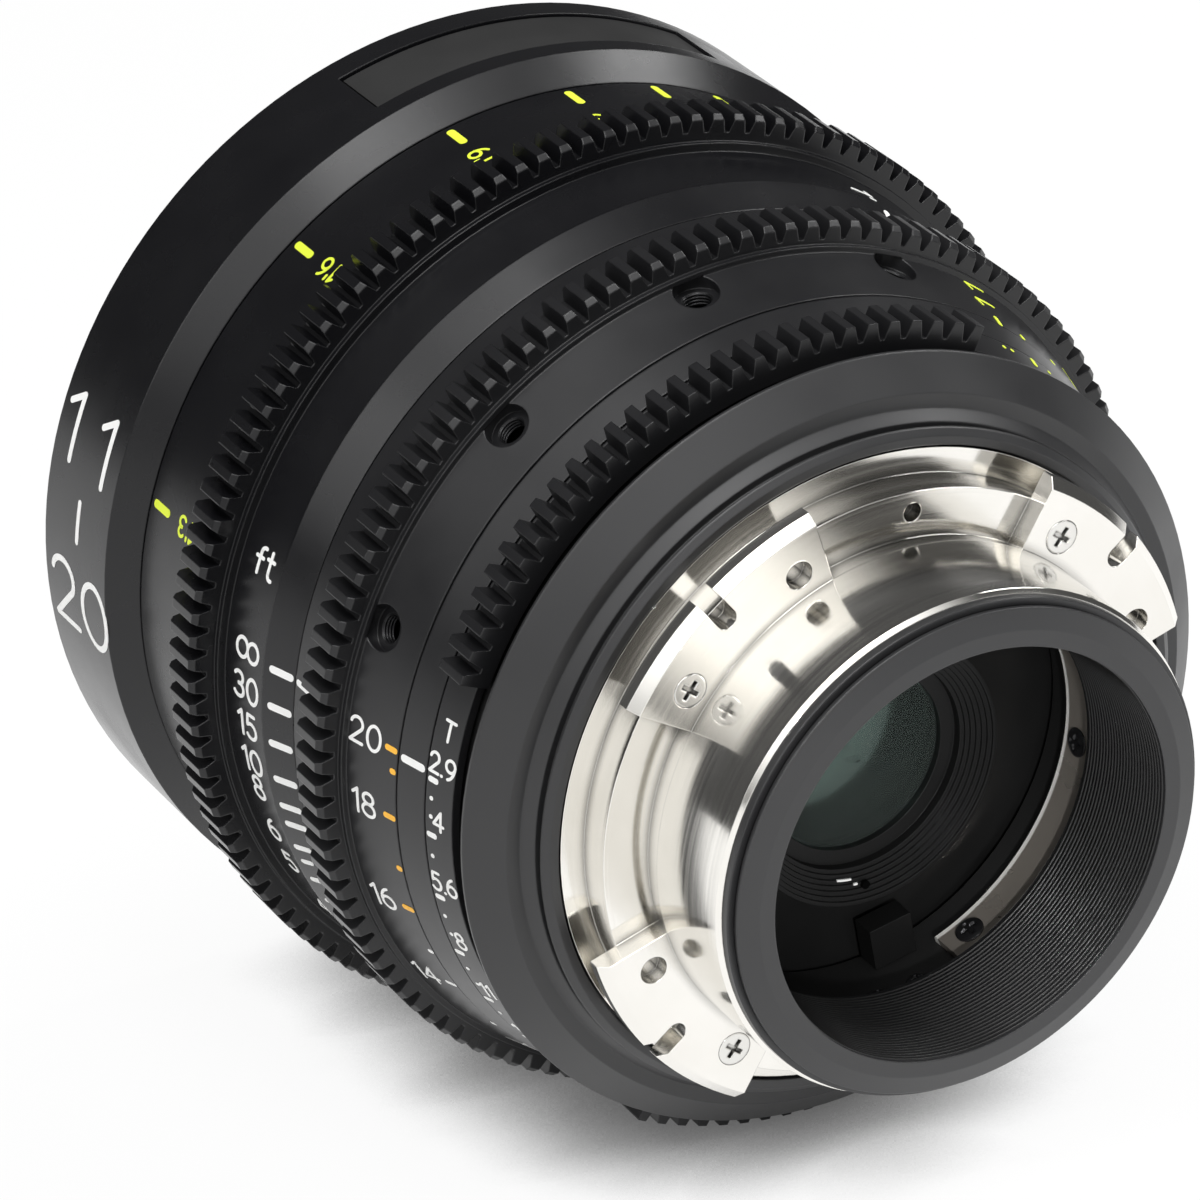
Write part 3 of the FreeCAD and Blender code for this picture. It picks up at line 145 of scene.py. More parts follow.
def finish(name, look):
    # one material: a Principled shader, the shared grain, and rounded edges that catch the light
    material = bpy.data.materials.new(name)
    material.use_nodes = True
    tree = material.node_tree
    shader = tree.nodes["Principled BSDF"]
    grain = addNode(tree, "ShaderNodeGroup", node_tree=turnedGrain)
    for label, value in zip(("Line Scale", "Line Share", "Grain Scale", "Grain Share"), look["grain"]):
        grain.inputs[label].default_value = value
    colours = addNode(tree, "ShaderNodeMix", data_type="RGBA")
    colours.inputs[6].default_value = (*look["dark"], 1)
    colours.inputs[7].default_value = (*look["light"], 1)
    tree.links.new(grain.outputs["Cloud"], colours.inputs[0])
    colour = colours.outputs[2]
    if look.get("hollow"):
        # painted shade: the colour is darkened by ambient occlusion in corners and recesses
        shade = addNode(tree, "ShaderNodeAmbientOcclusion", samples=8)
        feed(shade, Distance=look["hollow"])
        tree.links.new(colour, shade.inputs["Color"])
        depth = addNode(tree, "ShaderNodeMapRange")
        feed(depth, **paintedShadeRamp)
        tree.links.new(shade.outputs["AO"], depth.inputs["Value"])
        darker = addNode(tree, "ShaderNodeVectorMath", operation="SCALE")
        tree.links.new(colour, darker.inputs[0])
        tree.links.new(depth.outputs["Result"], darker.inputs["Scale"])
        colour = darker.outputs[0]
    tree.links.new(colour, shader.inputs["Base Color"])
    rough = addNode(tree, "ShaderNodeMapRange")
    feed(rough, **cloudRange, To_Min=look["smooth"], To_Max=look["rough"])
    tree.links.new(grain.outputs[look.get("roughBy", "Cloud")], rough.inputs["Value"])
    tree.links.new(rough.outputs["Result"], shader.inputs["Roughness"])
    if look.get("lining"):
        # black, dull and not metallic inside a radius
        inside = addNode(tree, "ShaderNodeGroup", node_tree=boreMask)
        feed(inside, Radius=look["lining"])
        lined = addNode(tree, "ShaderNodeMix", data_type="RGBA")
        tree.links.new(inside.outputs[0], lined.inputs[0])
        tree.links.new(colour, lined.inputs[6])
        lined.inputs[7].default_value = lining["tone"]
        tree.links.new(lined.outputs[2], shader.inputs["Base Color"])
        tree.links.new(math2(tree, "SUBTRACT", 1.0, inside.outputs[0]), shader.inputs["Metallic"])
        dull = math2(tree, "MULTIPLY", inside.outputs[0], lining["rough"])
        dull = math2(tree, "MAXIMUM", rough.outputs["Result"], dull)
        tree.links.new(dull, shader.inputs["Roughness"])
    if look.get("rims"):
        # painted highlights: brighter, duller bands along both long edges
        middle, reach, fade = look["rims"]
        place = addNode(tree, "ShaderNodeTexCoord")
        split = addNode(tree, "ShaderNodeSeparateXYZ")
        tree.links.new(place.outputs["Object"], split.inputs[0])
        away = math2(tree, "ABSOLUTE", math2(tree, "SUBTRACT", split.outputs[1], middle))
        band = addNode(tree, "ShaderNodeMapRange", interpolation_type="SMOOTHSTEP")
        feed(band, From_Min=reach - fade, From_Max=reach)
        tree.links.new(away, band.inputs["Value"])
        edged = addNode(tree, "ShaderNodeMix", data_type="RGBA")
        tree.links.new(band.outputs["Result"], edged.inputs[0])
        tree.links.new(colour, edged.inputs[6])
        edged.inputs[7].default_value = paintedRimHighlight["tone"]
        tree.links.new(edged.outputs[2], shader.inputs["Base Color"])
        loss = math2(tree, "MULTIPLY", band.outputs["Result"], paintedRimHighlight["dulling"])
        tree.links.new(math2(tree, "SUBTRACT", look["metallic"], loss), shader.inputs["Metallic"])
    bump = addNode(tree, "ShaderNodeBump")
    feed(bump, Strength=look["bump"], Distance=look.get("relief", 0.00002))
    tree.links.new(grain.outputs["Height"], bump.inputs["Height"])
    if look.get("edge"):
        edge = addNode(tree, "ShaderNodeBevel", samples=6)
        feed(edge, Radius=look["edge"])
        tree.links.new(edge.outputs[0], bump.inputs["Normal"])
    tree.links.new(bump.outputs["Normal"], shader.inputs["Normal"])
    feed(shader, Metallic=look.get("metallic", 0.0), Specular_IOR_Level=look.get("specular", 0.5))
    if look.get("anisotropic"):
        feed(shader, Anisotropic=look["anisotropic"], Anisotropic_Rotation=0.25)
        tangent = addNode(tree, "ShaderNodeTangent", direction_type="RADIAL", axis="Y")
        tree.links.new(tangent.outputs[0], shader.inputs["Tangent"])
    return material


# grain has the scale and share of the lathe lines, then of the blasted grain; edge, lining, the reach of the painted
# shade in recesses and the band of painted highlights on the strip's edges are in metres, and that band has its middle,
# reach and fade along the optical axis
finishes = {
    "blackAnodised": {
        "dark": (0.008, 0.008, 0.009), "light": (0.013, 0.013, 0.014), "smooth": 0.28, "rough": 0.38,
        "specular": 0.4, "grain": (2200.0, 0.35, 5200.0, 0.65), "bump": 0.2, "edge": 0.00022,
    },
    "satinBlack": {
        "dark": (0.004, 0.004, 0.005), "light": (0.007, 0.007, 0.008), "smooth": 0.22, "rough": 0.31,
        "specular": 0.36, "grain": (2200.0, 0.4, 5200.0, 0.6), "bump": 0.14, "edge": 0.00022,
    },
    "charcoal": {
        "dark": (0.016, 0.016, 0.017), "light": (0.022, 0.022, 0.023), "smooth": 0.34, "rough": 0.44,
        "specular": 0.5, "grain": (2200.0, 0.3, 5200.0, 0.7), "bump": 0.25, "edge": 0.00025,
    },
    "mattBlack": {
        "dark": (0.003, 0.003, 0.003), "light": (0.006, 0.006, 0.006), "smooth": 0.42, "rough": 0.55,
        "specular": 0.3, "grain": (2600.0, 0.5, 5200.0, 0.5), "bump": 0.25, "edge": 0.00012,
    },
    "ribBlack": {
        "dark": (0.007, 0.007, 0.007), "light": (0.011, 0.011, 0.011), "smooth": 0.34, "rough": 0.44,
        "specular": 0.4, "grain": (2600.0, 0.4, 5200.0, 0.6), "bump": 0.1,
    },
    "plateBlack": {
        "dark": (0.014, 0.014, 0.014), "light": (0.021, 0.021, 0.021), "smooth": 0.45, "rough": 0.55,
        "specular": 0.4, "grain": (2600.0, 0.1, 4200.0, 0.9), "bump": 0.3, "edge": 0.0001,
    },
    "brightMount": {
        "dark": (0.71, 0.69, 0.645), "light": (0.85, 0.835, 0.80), "smooth": 0.09, "rough": 0.18,
        "metallic": 1.0, "roughBy": "Lines", "grain": (1700.0, 0.9, 5200.0, 0.1), "bump": 0.1, "edge": 0.00015,
        "anisotropic": 0.45, "hollow": 0.0022, "lining": 0.0243,
    },
    "brightStrip": {
        "dark": (0.46, 0.42, 0.37), "light": (0.58, 0.53, 0.47), "smooth": 0.24, "rough": 0.34, "metallic": 0.72,
        "roughBy": "Cloud", "grain": (1700.0, 0.5, 5200.0, 0.1), "bump": 0.05, "rims": (0.003, 0.00198, 0.00025),
    },
    # painted shade for the hole in the baffle
    "paintedShadeBlack": {
        "dark": (0.0004, 0.0004, 0.0004), "light": (0.0008, 0.0008, 0.0008), "smooth": 0.9, "rough": 0.95,
        "specular": 0.05, "grain": (3000.0, 0.2, 7000.0, 0.8), "bump": 0.05,
    },
    "brightScrew": {
        "dark": (0.62, 0.61, 0.58), "light": (0.78, 0.77, 0.745), "smooth": 0.12, "rough": 0.24, "metallic": 1.0,
        "roughBy": "Cloud", "grain": (3000.0, 0.3, 7000.0, 0.7), "bump": 0.12, "edge": 0.00035, "hollow": 0.0012,
    },
    "blackSteel": {
        "dark": (0.015, 0.015, 0.016), "light": (0.03, 0.03, 0.032), "smooth": 0.25, "rough": 0.38,
        "metallic": 0.6, "grain": (3000.0, 0.5, 7000.0, 0.5), "bump": 0.2, "edge": 0.00025,
    },
    "whitePaint": {
        "dark": (0.80, 0.80, 0.78), "light": (0.88, 0.88, 0.87), "smooth": 0.4, "rough": 0.55, "specular": 0.4,
        "grain": (3000.0, 0.2, 8000.0, 0.8), "bump": 0.2,
    },
    "yellowPaint": {
        "dark": (0.66, 0.78, 0.03), "light": (0.76, 0.88, 0.07), "smooth": 0.4, "rough": 0.55, "specular": 0.4,
        "grain": (3000.0, 0.2, 8000.0, 0.8), "bump": 0.2,
    },
    "orangePaint": {
        "dark": (0.88, 0.42, 0.03), "light": (0.95, 0.52, 0.05), "smooth": 0.4, "rough": 0.55, "specular": 0.4,
        "grain": (3000.0, 0.2, 8000.0, 0.8), "bump": 0.2,
    },
}
paint = {name: finish(name, look) for name, look in finishes.items()}


def glassFinish(name, tint, reflection, haze=0.0, blur=0.0):
    # clear glass with a faint cloud in its polish and a coloured coating
    material = bpy.data.materials.new(name)
    material.use_nodes = True
    tree = material.node_tree
    shader = tree.nodes["Principled BSDF"]
    grain = addNode(tree, "ShaderNodeGroup", node_tree=turnedGrain)
    colours = addNode(tree, "ShaderNodeMix", data_type="RGBA")
    colours.inputs[6].default_value = (*tint, 1)
    colours.inputs[7].default_value = (*(polish["tone"] * part for part in tint), 1)
    tree.links.new(grain.outputs["Cloud"], colours.inputs[0])
    tree.links.new(colours.outputs[2], shader.inputs["Base Color"])
    rough = addNode(tree, "ShaderNodeMapRange")
    feed(rough, **cloudRange, To_Min=blur, To_Max=blur + polish["blur"])
    tree.links.new(grain.outputs["Cloud"], rough.inputs["Value"])
    tree.links.new(rough.outputs["Result"], shader.inputs["Roughness"])
    feed(shader, Transmission_Weight=1.0 - haze, IOR=polish["index"], Specular_Tint=(*reflection, 1))
    return material


clearGlass = glassFinish("clearGlass", (0.80, 0.86, 0.83), (0.65, 1.0, 0.9))
# painted shade: the rear and inner glasses are tinted dark, the inner ones nearly black, so the lens looks dark inside
rearGlass = glassFinish("rearGlass", (0.38, 0.45, 0.42), (0.5, 0.75, 0.66), haze=0.055, blur=0.11)
shadeTintedGlass = glassFinish("shadeTintedGlass", (0.05, 0.07, 0.065), (0.6, 0.9, 1.0))

# the solids keep their shape and take these finishes
dressing = {
    "blackAnodised": ("index_band", "focus_index_ring", "iris_ring", "zoom_ring"),
    "satinBlack": ("focus_ring", "front_ring"),
    "charcoal": ("rear_body", "rear_tube"),
    "plateBlack": ("blank_name_plate",),
    "mattBlack": (
        "main_barrel", "iris_base", "iris_cover", "iris_drive_ring", "front_cell", "front_lock_ring", "second_lock_ring",
        "rear_bulkhead", "rear_cell", "rear_lock_ring", "focus_carriage", "zoom_carriage", "relay_carriage", "bore_block",
    ),
    "brightMount": ("mount_flange",),
    "brightStrip": ("inner_strip",),
    "brightScrew": ("mount_screw_1", "mount_screw_2", "mount_screw_3", "mount_screw_4"),
}
for name, node in nodes.items():
    chosen = paint["blackSteel"]
    for look, members in dressing.items():
        if name in members:
            chosen = paint[look]
    if name.endswith("_element"):
        chosen = {"rear_element": rearGlass, "front_element": clearGlass}.get(name, shadeTintedGlass)
    node.data.materials.clear()
    node.data.materials.append(chosen)
print("finishes on the solids")

# outer surfaces of the rings as (y, radius) at both ends, for what is printed on them
surfaces = {
    "irisRing": ((14.8, 41.1), (18.4, 42.0)),
    "indexBand": ((18.7, 42.0), (22.3, 43.0)),
    "zoomRing": ((22.6, 43.0), (29.5, 44.7)),
    "focusIndex": ((35.3, 45.1), (39.8, 45.1)),
    "focusTicks": ((40.1, 45.0), (44.1, 46.5)),
    "focusNumbers": ((44.1, 46.0), (51.3, 46.8)),
    "focusBand": ((57.1, 47.2), (69.4, 47.2)),
    "frontRing": ((72.5, 49.8), (86.4, 49.8)),
}


def aroundAxis(angle):
    # the direction away from the optical axis at an angle in degrees
    turn = math.radians(angle)
    return Vector((math.cos(turn), 0, math.sin(turn)))


def onSurface(surface, along, angle, lift=0.0):
    # a point on a ring in metres, with its outward and rearward directions
    (yLow, rLow), (yHigh, rHigh) = surfaces[surface]
    slope = (rHigh - rLow) / (yHigh - yLow)
    around = aroundAxis(angle)
    outward = (around - Vector((0, slope, 0))).normalized()
    rearward = -(around * slope + Vector((0, 1, 0))).normalized()
    place = around * (rLow + (along - yLow) * slope) + Vector((0, along, 0)) + outward * lift
    return place * mm, outward, rearward


def keepMesh(name, mesh, material, body):
    # links a finished mesh, and gives it its finish and its body
    piece = bpy.data.objects.new(name, mesh)
    bpy.context.scene.collection.objects.link(piece)
    mesh.materials.clear()
    mesh.materials.append(material)
    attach(piece, body)
    return piece


def keepSolid(name, places, faces, material, body):
    # the same for a closed shape given by its points, with every face turned outward
    mesh = bpy.data.meshes.new(name)
    mesh.from_pydata(places, [], faces)
    shape = bmesh.new()
    shape.from_mesh(mesh)
    bmesh.ops.recalc_face_normals(shape, faces=shape.faces)
    shape.to_mesh(mesh)
    shape.free()
    return keepMesh(name, mesh, material, body)


def growTree(name, tree, spots, values, material, body):
    # runs a geometry tree on points that carry their directions, and keeps the result as a plain mesh
    mesh = bpy.data.meshes.new(name + "Points")
    mesh.from_pydata([tuple(spot[0]) for spot in spots], [], [])
    for place, label in ((1, "outward"), (2, "along")):
        layer = mesh.attributes.new(label, "FLOAT_VECTOR", "POINT")
        for index, spot in enumerate(spots):
            layer.data[index].vector = spot[place]
    holder = bpy.data.objects.new(name + "Points", mesh)
    bpy.context.scene.collection.objects.link(holder)
    modifier = holder.modifiers.new(name, "NODES")
    modifier.node_group = tree
    sockets = {item.name: item.identifier for item in tree.interface.items_tree if item.in_out == "INPUT"}
    for label, value in values.items():
        modifier[sockets[label]] = value
    modifier[sockets["Finish"]] = material
    grown = holder.evaluated_get(bpy.context.evaluated_depsgraph_get())
    result = bpy.data.meshes.new_from_object(grown)
    bpy.data.objects.remove(holder)
    result.name = name
    return keepMesh(name, result, material, body)


# a bar with round ends, set on each point
tickEnds = {"share": 0.48, "steps": 5, "merge": 0.000001}


def buildTickTree():
    tree, source, sink = newGroup(
        "printedTicks", "GeometryNodeTree",
        (("Points", "Geometry", None), ("Length", "Float", 0.003), ("Width", "Float", 0.0008),
         ("Thickness", "Float", 0.00008), ("Finish", "Material", None)),
        (("Mesh", "Geometry", None),))
    link = tree.links.new
    shape = addNode(tree, "GeometryNodeCurvePrimitiveQuadrilateral")
    link(source.outputs["Length"], shape.inputs["Width"])
    link(source.outputs["Width"], shape.inputs["Height"])
    corner = addNode(tree, "GeometryNodeFilletCurve", mode="POLY")
    feed(corner, Count=tickEnds["steps"])
    link(shape.outputs[0], corner.inputs["Curve"])
    link(math2(tree, "MULTIPLY", source.outputs["Width"], tickEnds["share"]), corner.inputs["Radius"])
    fill = addNode(tree, "GeometryNodeFillCurve", mode="NGONS")
    link(corner.outputs[0], fill.inputs["Curve"])
    raised = addNode(tree, "GeometryNodeExtrudeMesh")
    raised.inputs["Individual"].default_value = False
    link(fill.outputs[0], raised.inputs["Mesh"])
    link(source.outputs["Thickness"], raised.inputs["Offset Scale"])
    under = addNode(tree, "GeometryNodeFlipFaces")
    link(fill.outputs[0], under.inputs[0])
    both = addNode(tree, "GeometryNodeJoinGeometry")
    link(raised.outputs[0], both.inputs[0])
    link(under.outputs[0], both.inputs[0])
    merged = addNode(tree, "GeometryNodeMergeByDistance")
    feed(merged, Distance=tickEnds["merge"])
    link(both.outputs[0], merged.inputs[0])
    standOnPoints(tree, source, sink, merged.outputs[0])
    return tree


def standOnPoints(tree, source, sink, piece):
    # stands the piece on every point by its two directions, and ends the tree
    link = tree.links.new
    outward = addNode(tree, "GeometryNodeInputNamedAttribute", data_type="FLOAT_VECTOR")
    feed(outward, Name="outward")
    along = addNode(tree, "GeometryNodeInputNamedAttribute", data_type="FLOAT_VECTOR")
    feed(along, Name="along")
    turn = addNode(tree, "FunctionNodeAxesToRotation", primary_axis="Z", secondary_axis="X")
    link(outward.outputs[0], turn.inputs[0])
    link(along.outputs[0], turn.inputs[1])
    stand = addNode(tree, "GeometryNodeInstanceOnPoints")
    link(source.outputs["Points"], stand.inputs["Points"])
    link(piece, stand.inputs["Instance"])
    link(turn.outputs[0], stand.inputs["Rotation"])
    real = addNode(tree, "GeometryNodeRealizeInstances")
    link(stand.outputs[0], real.inputs[0])
    coat = addNode(tree, "GeometryNodeSetMaterial")
    link(real.outputs[0], coat.inputs[0])
    link(source.outputs["Finish"], coat.inputs["Material"])
    link(coat.outputs[0], sink.inputs[0])


# a stack of thin rings, set on each point: the bore's ribs and the lever holes' threads
def buildRingTree():
    tree, source, sink = newGroup(
        "ringStack", "GeometryNodeTree",
        (("Points", "Geometry", None), ("Radius", "Float", 0.022), ("Rib", "Float", 0.0001), ("Pitch", "Float", 0.00035),
         ("Rings", "Int", 38), ("Segments", "Int", 96), ("Finish", "Material", None)),
        (("Mesh", "Geometry", None),))
    link = tree.links.new
    circle = addNode(tree, "GeometryNodeCurvePrimitiveCircle")
    link(source.outputs["Segments"], circle.inputs["Resolution"])
    link(source.outputs["Radius"], circle.inputs["Radius"])
    section = addNode(tree, "GeometryNodeCurvePrimitiveCircle")
    feed(section, Resolution=6)
    link(source.outputs["Rib"], section.inputs["Radius"])
    ring = addNode(tree, "GeometryNodeCurveToMesh")
    link(circle.outputs[0], ring.inputs["Curve"])
    link(section.outputs[0], ring.inputs["Profile Curve"])
    step = addNode(tree, "ShaderNodeCombineXYZ")
    link(source.outputs["Pitch"], step.inputs["Z"])
    line = addNode(tree, "GeometryNodeMeshLine")
    link(source.outputs["Rings"], line.inputs["Count"])
    link(step.outputs[0], line.inputs["Offset"])
    stack = addNode(tree, "GeometryNodeInstanceOnPoints")
    link(line.outputs[0], stack.inputs["Points"])
    link(ring.outputs[0], stack.inputs["Instance"])
    standOnPoints(tree, source, sink, stack.outputs[0])
    return tree


tickTree = buildTickTree()
ringTree = buildRingTree()


# all print starts a little inside its ring and stands a little above it
printLevels = {"sunk": -0.05, "raised": 0.03}


def printTicks(name, surface, angles, start, end, width, ink, body):
    spots = [onSurface(surface, (start + end) / 2, angle, printLevels["sunk"]) for angle in angles]
    thickness = printLevels["raised"] - printLevels["sunk"]
    values = {"Length": abs(end - start) * mm, "Width": width * mm, "Thickness": thickness * mm}
    return growTree(name, tickTree, spots, values, paint[ink + "Paint"], body)


# lettering: strokes of constant width with round ends, in units of the height, wrapped round a ring
strokeParts = {"turn": 12, "run": 0.12, "cap": 6}


def arc(centreX, centreY, radiusX, radiusY, start, end):
    steps = max(3, int(abs(end - start) / strokeParts["turn"]))
    turns = [math.radians(start + (end - start) * step / steps) for step in range(steps + 1)]
    return [(centreX + radiusX * math.cos(turn), centreY + radiusY * math.sin(turn)) for turn in turns]


def bar(startX, startY, endX, endY):
    steps = max(1, int(math.hypot(endX - startX, endY - startY) / strokeParts["run"]))
    return [(startX + (endX - startX) * step / steps, startY + (endY - startY) * step / steps)
            for step in range(steps + 1)]


# each glyph has its width and its strokes
glyphs = {
    "0": (0.62, [arc(0.31, 0.5, 0.31, 0.5, 0, 360)]),
    "1": (0.24, [bar(0, 0.8, 0.22, 1), bar(0.22, 1, 0.22, 0)]),
    "2": (0.6, [arc(0.29, 0.72, 0.27, 0.28, 170, -35), bar(0.51, 0.56, 0.02, 0), bar(0.02, 0, 0.6, 0)]),
    "3": (0.56, [arc(0.27, 0.76, 0.25, 0.24, 150, -90), arc(0.27, 0.27, 0.29, 0.27, 90, -150)]),
    "4": (0.64, [bar(0.46, 0, 0.46, 1), bar(0.46, 1, 0, 0.3), bar(0, 0.3, 0.64, 0.3)]),
    "5": (0.58, [bar(0.52, 1, 0.12, 1), bar(0.12, 1, 0.07, 0.56), arc(0.27, 0.32, 0.3, 0.32, 130, -145)]),
    "6": (0.58, [arc(0.29, 0.3, 0.29, 0.3, 0, 360), arc(0.52, 0.3, 0.52, 0.72, 180, 104)]),
    "7": (0.56, [bar(0, 1, 0.56, 1), bar(0.56, 1, 0.2, 0)]),
    "8": (0.58, [arc(0.29, 0.77, 0.24, 0.23, 0, 360), arc(0.29, 0.27, 0.29, 0.27, 0, 360)]),
    "9": (0.58, [arc(0.29, 0.7, 0.29, 0.3, 0, 360), arc(0.06, 0.7, 0.52, 0.72, 0, -76)]),
    ".": (0.04, [bar(0, 0, 0.04, 0)]),
    "'": (0.04, [bar(0.02, 1, 0.02, 0.78)]),
    "|": (0.04, [bar(0.02, 0, 0.02, 1)]),
    "∞": (1.28, [arc(0.32, 0.5, 0.32, 0.38, 0, 360), arc(0.96, 0.5, 0.32, 0.38, 0, 360)]),
    "f": (0.4, [arc(0.37, 0.8, 0.18, 0.2, 75, 180), bar(0.19, 0.8, 0.19, 0), bar(0, 0.6, 0.38, 0.6)]),
    "t": (0.4, [bar(0.17, 1, 0.17, 0.2), arc(0.35, 0.2, 0.18, 0.2, 180, 285), bar(0, 0.7, 0.38, 0.7)]),
    "T": (0.62, [bar(0, 1, 0.62, 1), bar(0.31, 1, 0.31, 0)]),
}


def ribbon(path, half):
    # the points and faces of a raised line, round at both ends or closed on itself; the third number is the level
    points = [Vector(point) for point in path]
    closed = (points[0] - points[-1]).length < 0.001
    if closed:
        points.pop()
    count = len(points)
    left, right = [], []
    for index, point in enumerate(points):
        before = points[index - 1] if closed or index else point
        after = points[(index + 1) % count] if closed or index < count - 1 else point
        way = (after - before).normalized() * half
        left.append(point + Vector((-way.y, way.x)))
        right.append(point - Vector((-way.y, way.x)))
    flat = left + right
    faces = [(index, count + index, count + (index + 1) % count, (index + 1) % count)
             for index in range(count if closed else count - 1)]
    if closed:
        loops = [list(range(count)), list(range(count, 2 * count))]
    else:
        caps = []
        for centre, rim in ((points[0], left[0]), (points[-1], right[-1])):
            first = len(flat)
            side = rim - centre
            for step in range(1, strokeParts["cap"]):
                turn = math.pi * step / strokeParts["cap"]
                cosine, sine = math.cos(turn), math.sin(turn)
                flat.append(centre + Vector((side.x * cosine - side.y * sine, side.x * sine + side.y * cosine)))
            caps.append(list(range(first, len(flat))))
        faces += [(0, *caps[0], count), (2 * count - 1, *caps[1], count - 1)]
        loops = [[0, *caps[0], *range(count, 2 * count), *caps[1], *range(count - 1, 0, -1)]]
    total = len(flat)
    walls = [(one, two, two + total, one + total) for loop in loops for one, two in zip(loop, loop[1:] + loop[:1])]
    solid = [(point.x, point.y, level) for level in (0, 1) for point in flat]
    return solid, faces + [tuple(corner + total for corner in face) for face in faces] + walls


def printLettering(name, surface, labels, style, ink, body):
    # side is 1 where the numbers read towards the camera mount, and -1 for the scale on the other side
    side, height = style["side"], style["height"]
    (yLow, rLow), (yHigh, rHigh) = surfaces[surface]
    places, faces = [], []
    for text, angle, along in labels:
        widths = [glyphs[letter][0] * style["stretch"] + style["gap"] for letter in text]
        pen = -(sum(widths) - style["gap"]) / 2
        for letter, width in zip(text, widths):
            for stroke in glyphs[letter][1]:
                path = [((pen + x * style["stretch"]) * height, (y - 0.5) * height) for x, y in stroke]
                solid, sides = ribbon(path, style["stroke"] / 2)
                faces += [tuple(corner + len(places) for corner in face) for face in sides]
                for x, y, level in solid:
                    station = along - side * x
                    radius = rLow + (station - yLow) * (rHigh - rLow) / (yHigh - yLow)
                    lift = printLevels["raised" if level else "sunk"]
                    places.append(onSurface(surface, station, angle - side * math.degrees(y / radius), lift)[0])
            pen += width
    return keepSolid(name, places, faces, paint[ink + "Paint"], body)


# focus scale in feet, printed twice half a turn apart; each distance has its turn from the far end
focusTurns = {
    "30": 5.07, "15": 10.3, "10": 15.6, "8": 19.7, "7": 22.6, "6": 26.5, "5.5": 29.0, "5": 32.3, "4.5": 36.4, "4": 41.4,
    "3.5": 48.3, "3": 57.7, "2.5": 71.5, "2.25": 81.2, "2": 93.7, "1'9": 110.4, "1'6": 134.2, "1'3": 171.2, "1'": 244.6,
}
numbered = ("30", "15", "10", "8", "6", "5", "4", "3", "2", "1'9", "1'6", "1'3", "1'")
whiteStart = 179.45
focusStyle = {"side": 1, "height": 2.75, "stretch": 1.05, "gap": 0.24, "stroke": 0.40}
labels = [("∞", 179.55, 47.6), ("ft", 167.75, 47.5)]
labels += [(text, whiteStart + 0.2 + focusTurns[text], 47.6) for text in numbered]
printLettering("focusNumbersWhite", "focusNumbers", labels, focusStyle, "white", "focus_control")
yellowFocusStyle = {"side": -1, "height": 2.1, "stretch": 1.0, "gap": 0.26, "stroke": 0.34}
labels = [("∞", 0.4, 61.8)] + [(text, focusTurns[text], 61.8) for text in numbered]
printLettering("focusNumbersYellow", "focusBand", labels, yellowFocusStyle, "yellow", "focus_control")

# each set of white marks: the distances, where a mark starts and ends along the axis, and its width
focusMarks = {
    "focusTicksLong": (("∞", "30", "15", "10"), 40.2, 43.4, 0.8),
    "focusTicksNear": (("8", "7", "1'9", "1'6", "1'3", "1'"), 40.4, 43.4, 0.75),
    "focusTicksMiddle": (("6", "5", "4", "3", "2"), 41.0, 43.4, 0.7),
    "focusTicksShort": (("5.5", "4.5", "3.5", "2.5", "2.25"), 41.6, 43.3, 0.62),
}
for name, (distances, start, end, width) in focusMarks.items():
    angles = [whiteStart + focusTurns.get(distance, 0.0) for distance in distances]
    printTicks(name, "focusTicks", angles, start, end, width, "white", "focus_control")
angles = [0.0] + list(focusTurns.values())
printTicks("focusTicksYellow", "focusBand", angles, 65.4, 68.8, 0.9, "yellow", "focus_control")
printTicks("focusIndexMark", "focusIndex", [179.3], 36.9, 39.6, 0.7, "white", "lens_body")
printTicks("focusIndexMarkYellow", "focusIndex", [0.0], 36.9, 39.6, 0.7, "yellow", "lens_body")

# zoom scale in plain numbers; the last one is lettered wider
zoomScale = {20: 179.2, 18: 189.1, 16: 203.9, 15: 211.6, 14: 218.6, 13: 228.5, 12: 235.5, 11: 240.2}
zoomStyle = {"side": 1, "height": 2.6, "stretch": 1.12, "gap": 0.24, "stroke": 0.34}
wideSpacing = {"gap": 0.68, "stretch": 1.4}
zoomNumbers = (
    ("zoomNumbersWhite", (20, 18, 16, 14), 27.15, zoomStyle, 0, "white"),
    ("zoomNumbersYellow", (20, 18, 16, 14), 27.15, dict(zoomStyle, side=-1), 180, "yellow"),
    ("zoomWideWhite", (11,), 27.6, dict(zoomStyle, **wideSpacing), 0, "white"),
    ("zoomWideYellow", (11,), 27.6, dict(zoomStyle, side=-1, **wideSpacing), 180, "yellow"),
)
for name, steps, along, style, turned, ink in zoomNumbers:
    labels = [(str(step), zoomScale[step] - turned, along) for step in steps]
    printLettering(name, "zoomRing", labels, style, ink, "zoom_control")
zoomMarks = {
    "zoomTicksOrange": ([179.2, 189.1, 203.9], 24.4, 0.62, "orange"),
    "zoomTicksOrangeShort": ([182.2, 196.95], 23.5, 0.6, "orange"),
    "zoomTicksWhite": ([218.6, 240.2], 24.3, 0.5, "white"),
    "zoomTicksWhiteShort": ([211.6, 228.5, 235.5], 23.5, 0.5, "white"),
    "zoomTicksYellow": ([zoomScale[step] - 180 for step in (20, 18, 16, 14, 11)], 24.3, 0.6, "yellow"),
    "zoomTicksYellowShort": ([zoomScale[step] - 180 for step in (15, 13, 12)], 23.5, 0.6, "yellow"),
}
for name, (angles, end, width, ink) in zoomMarks.items():
    printTicks(name, "zoomRing", angles, 22.65, end, width, ink, "zoom_control")

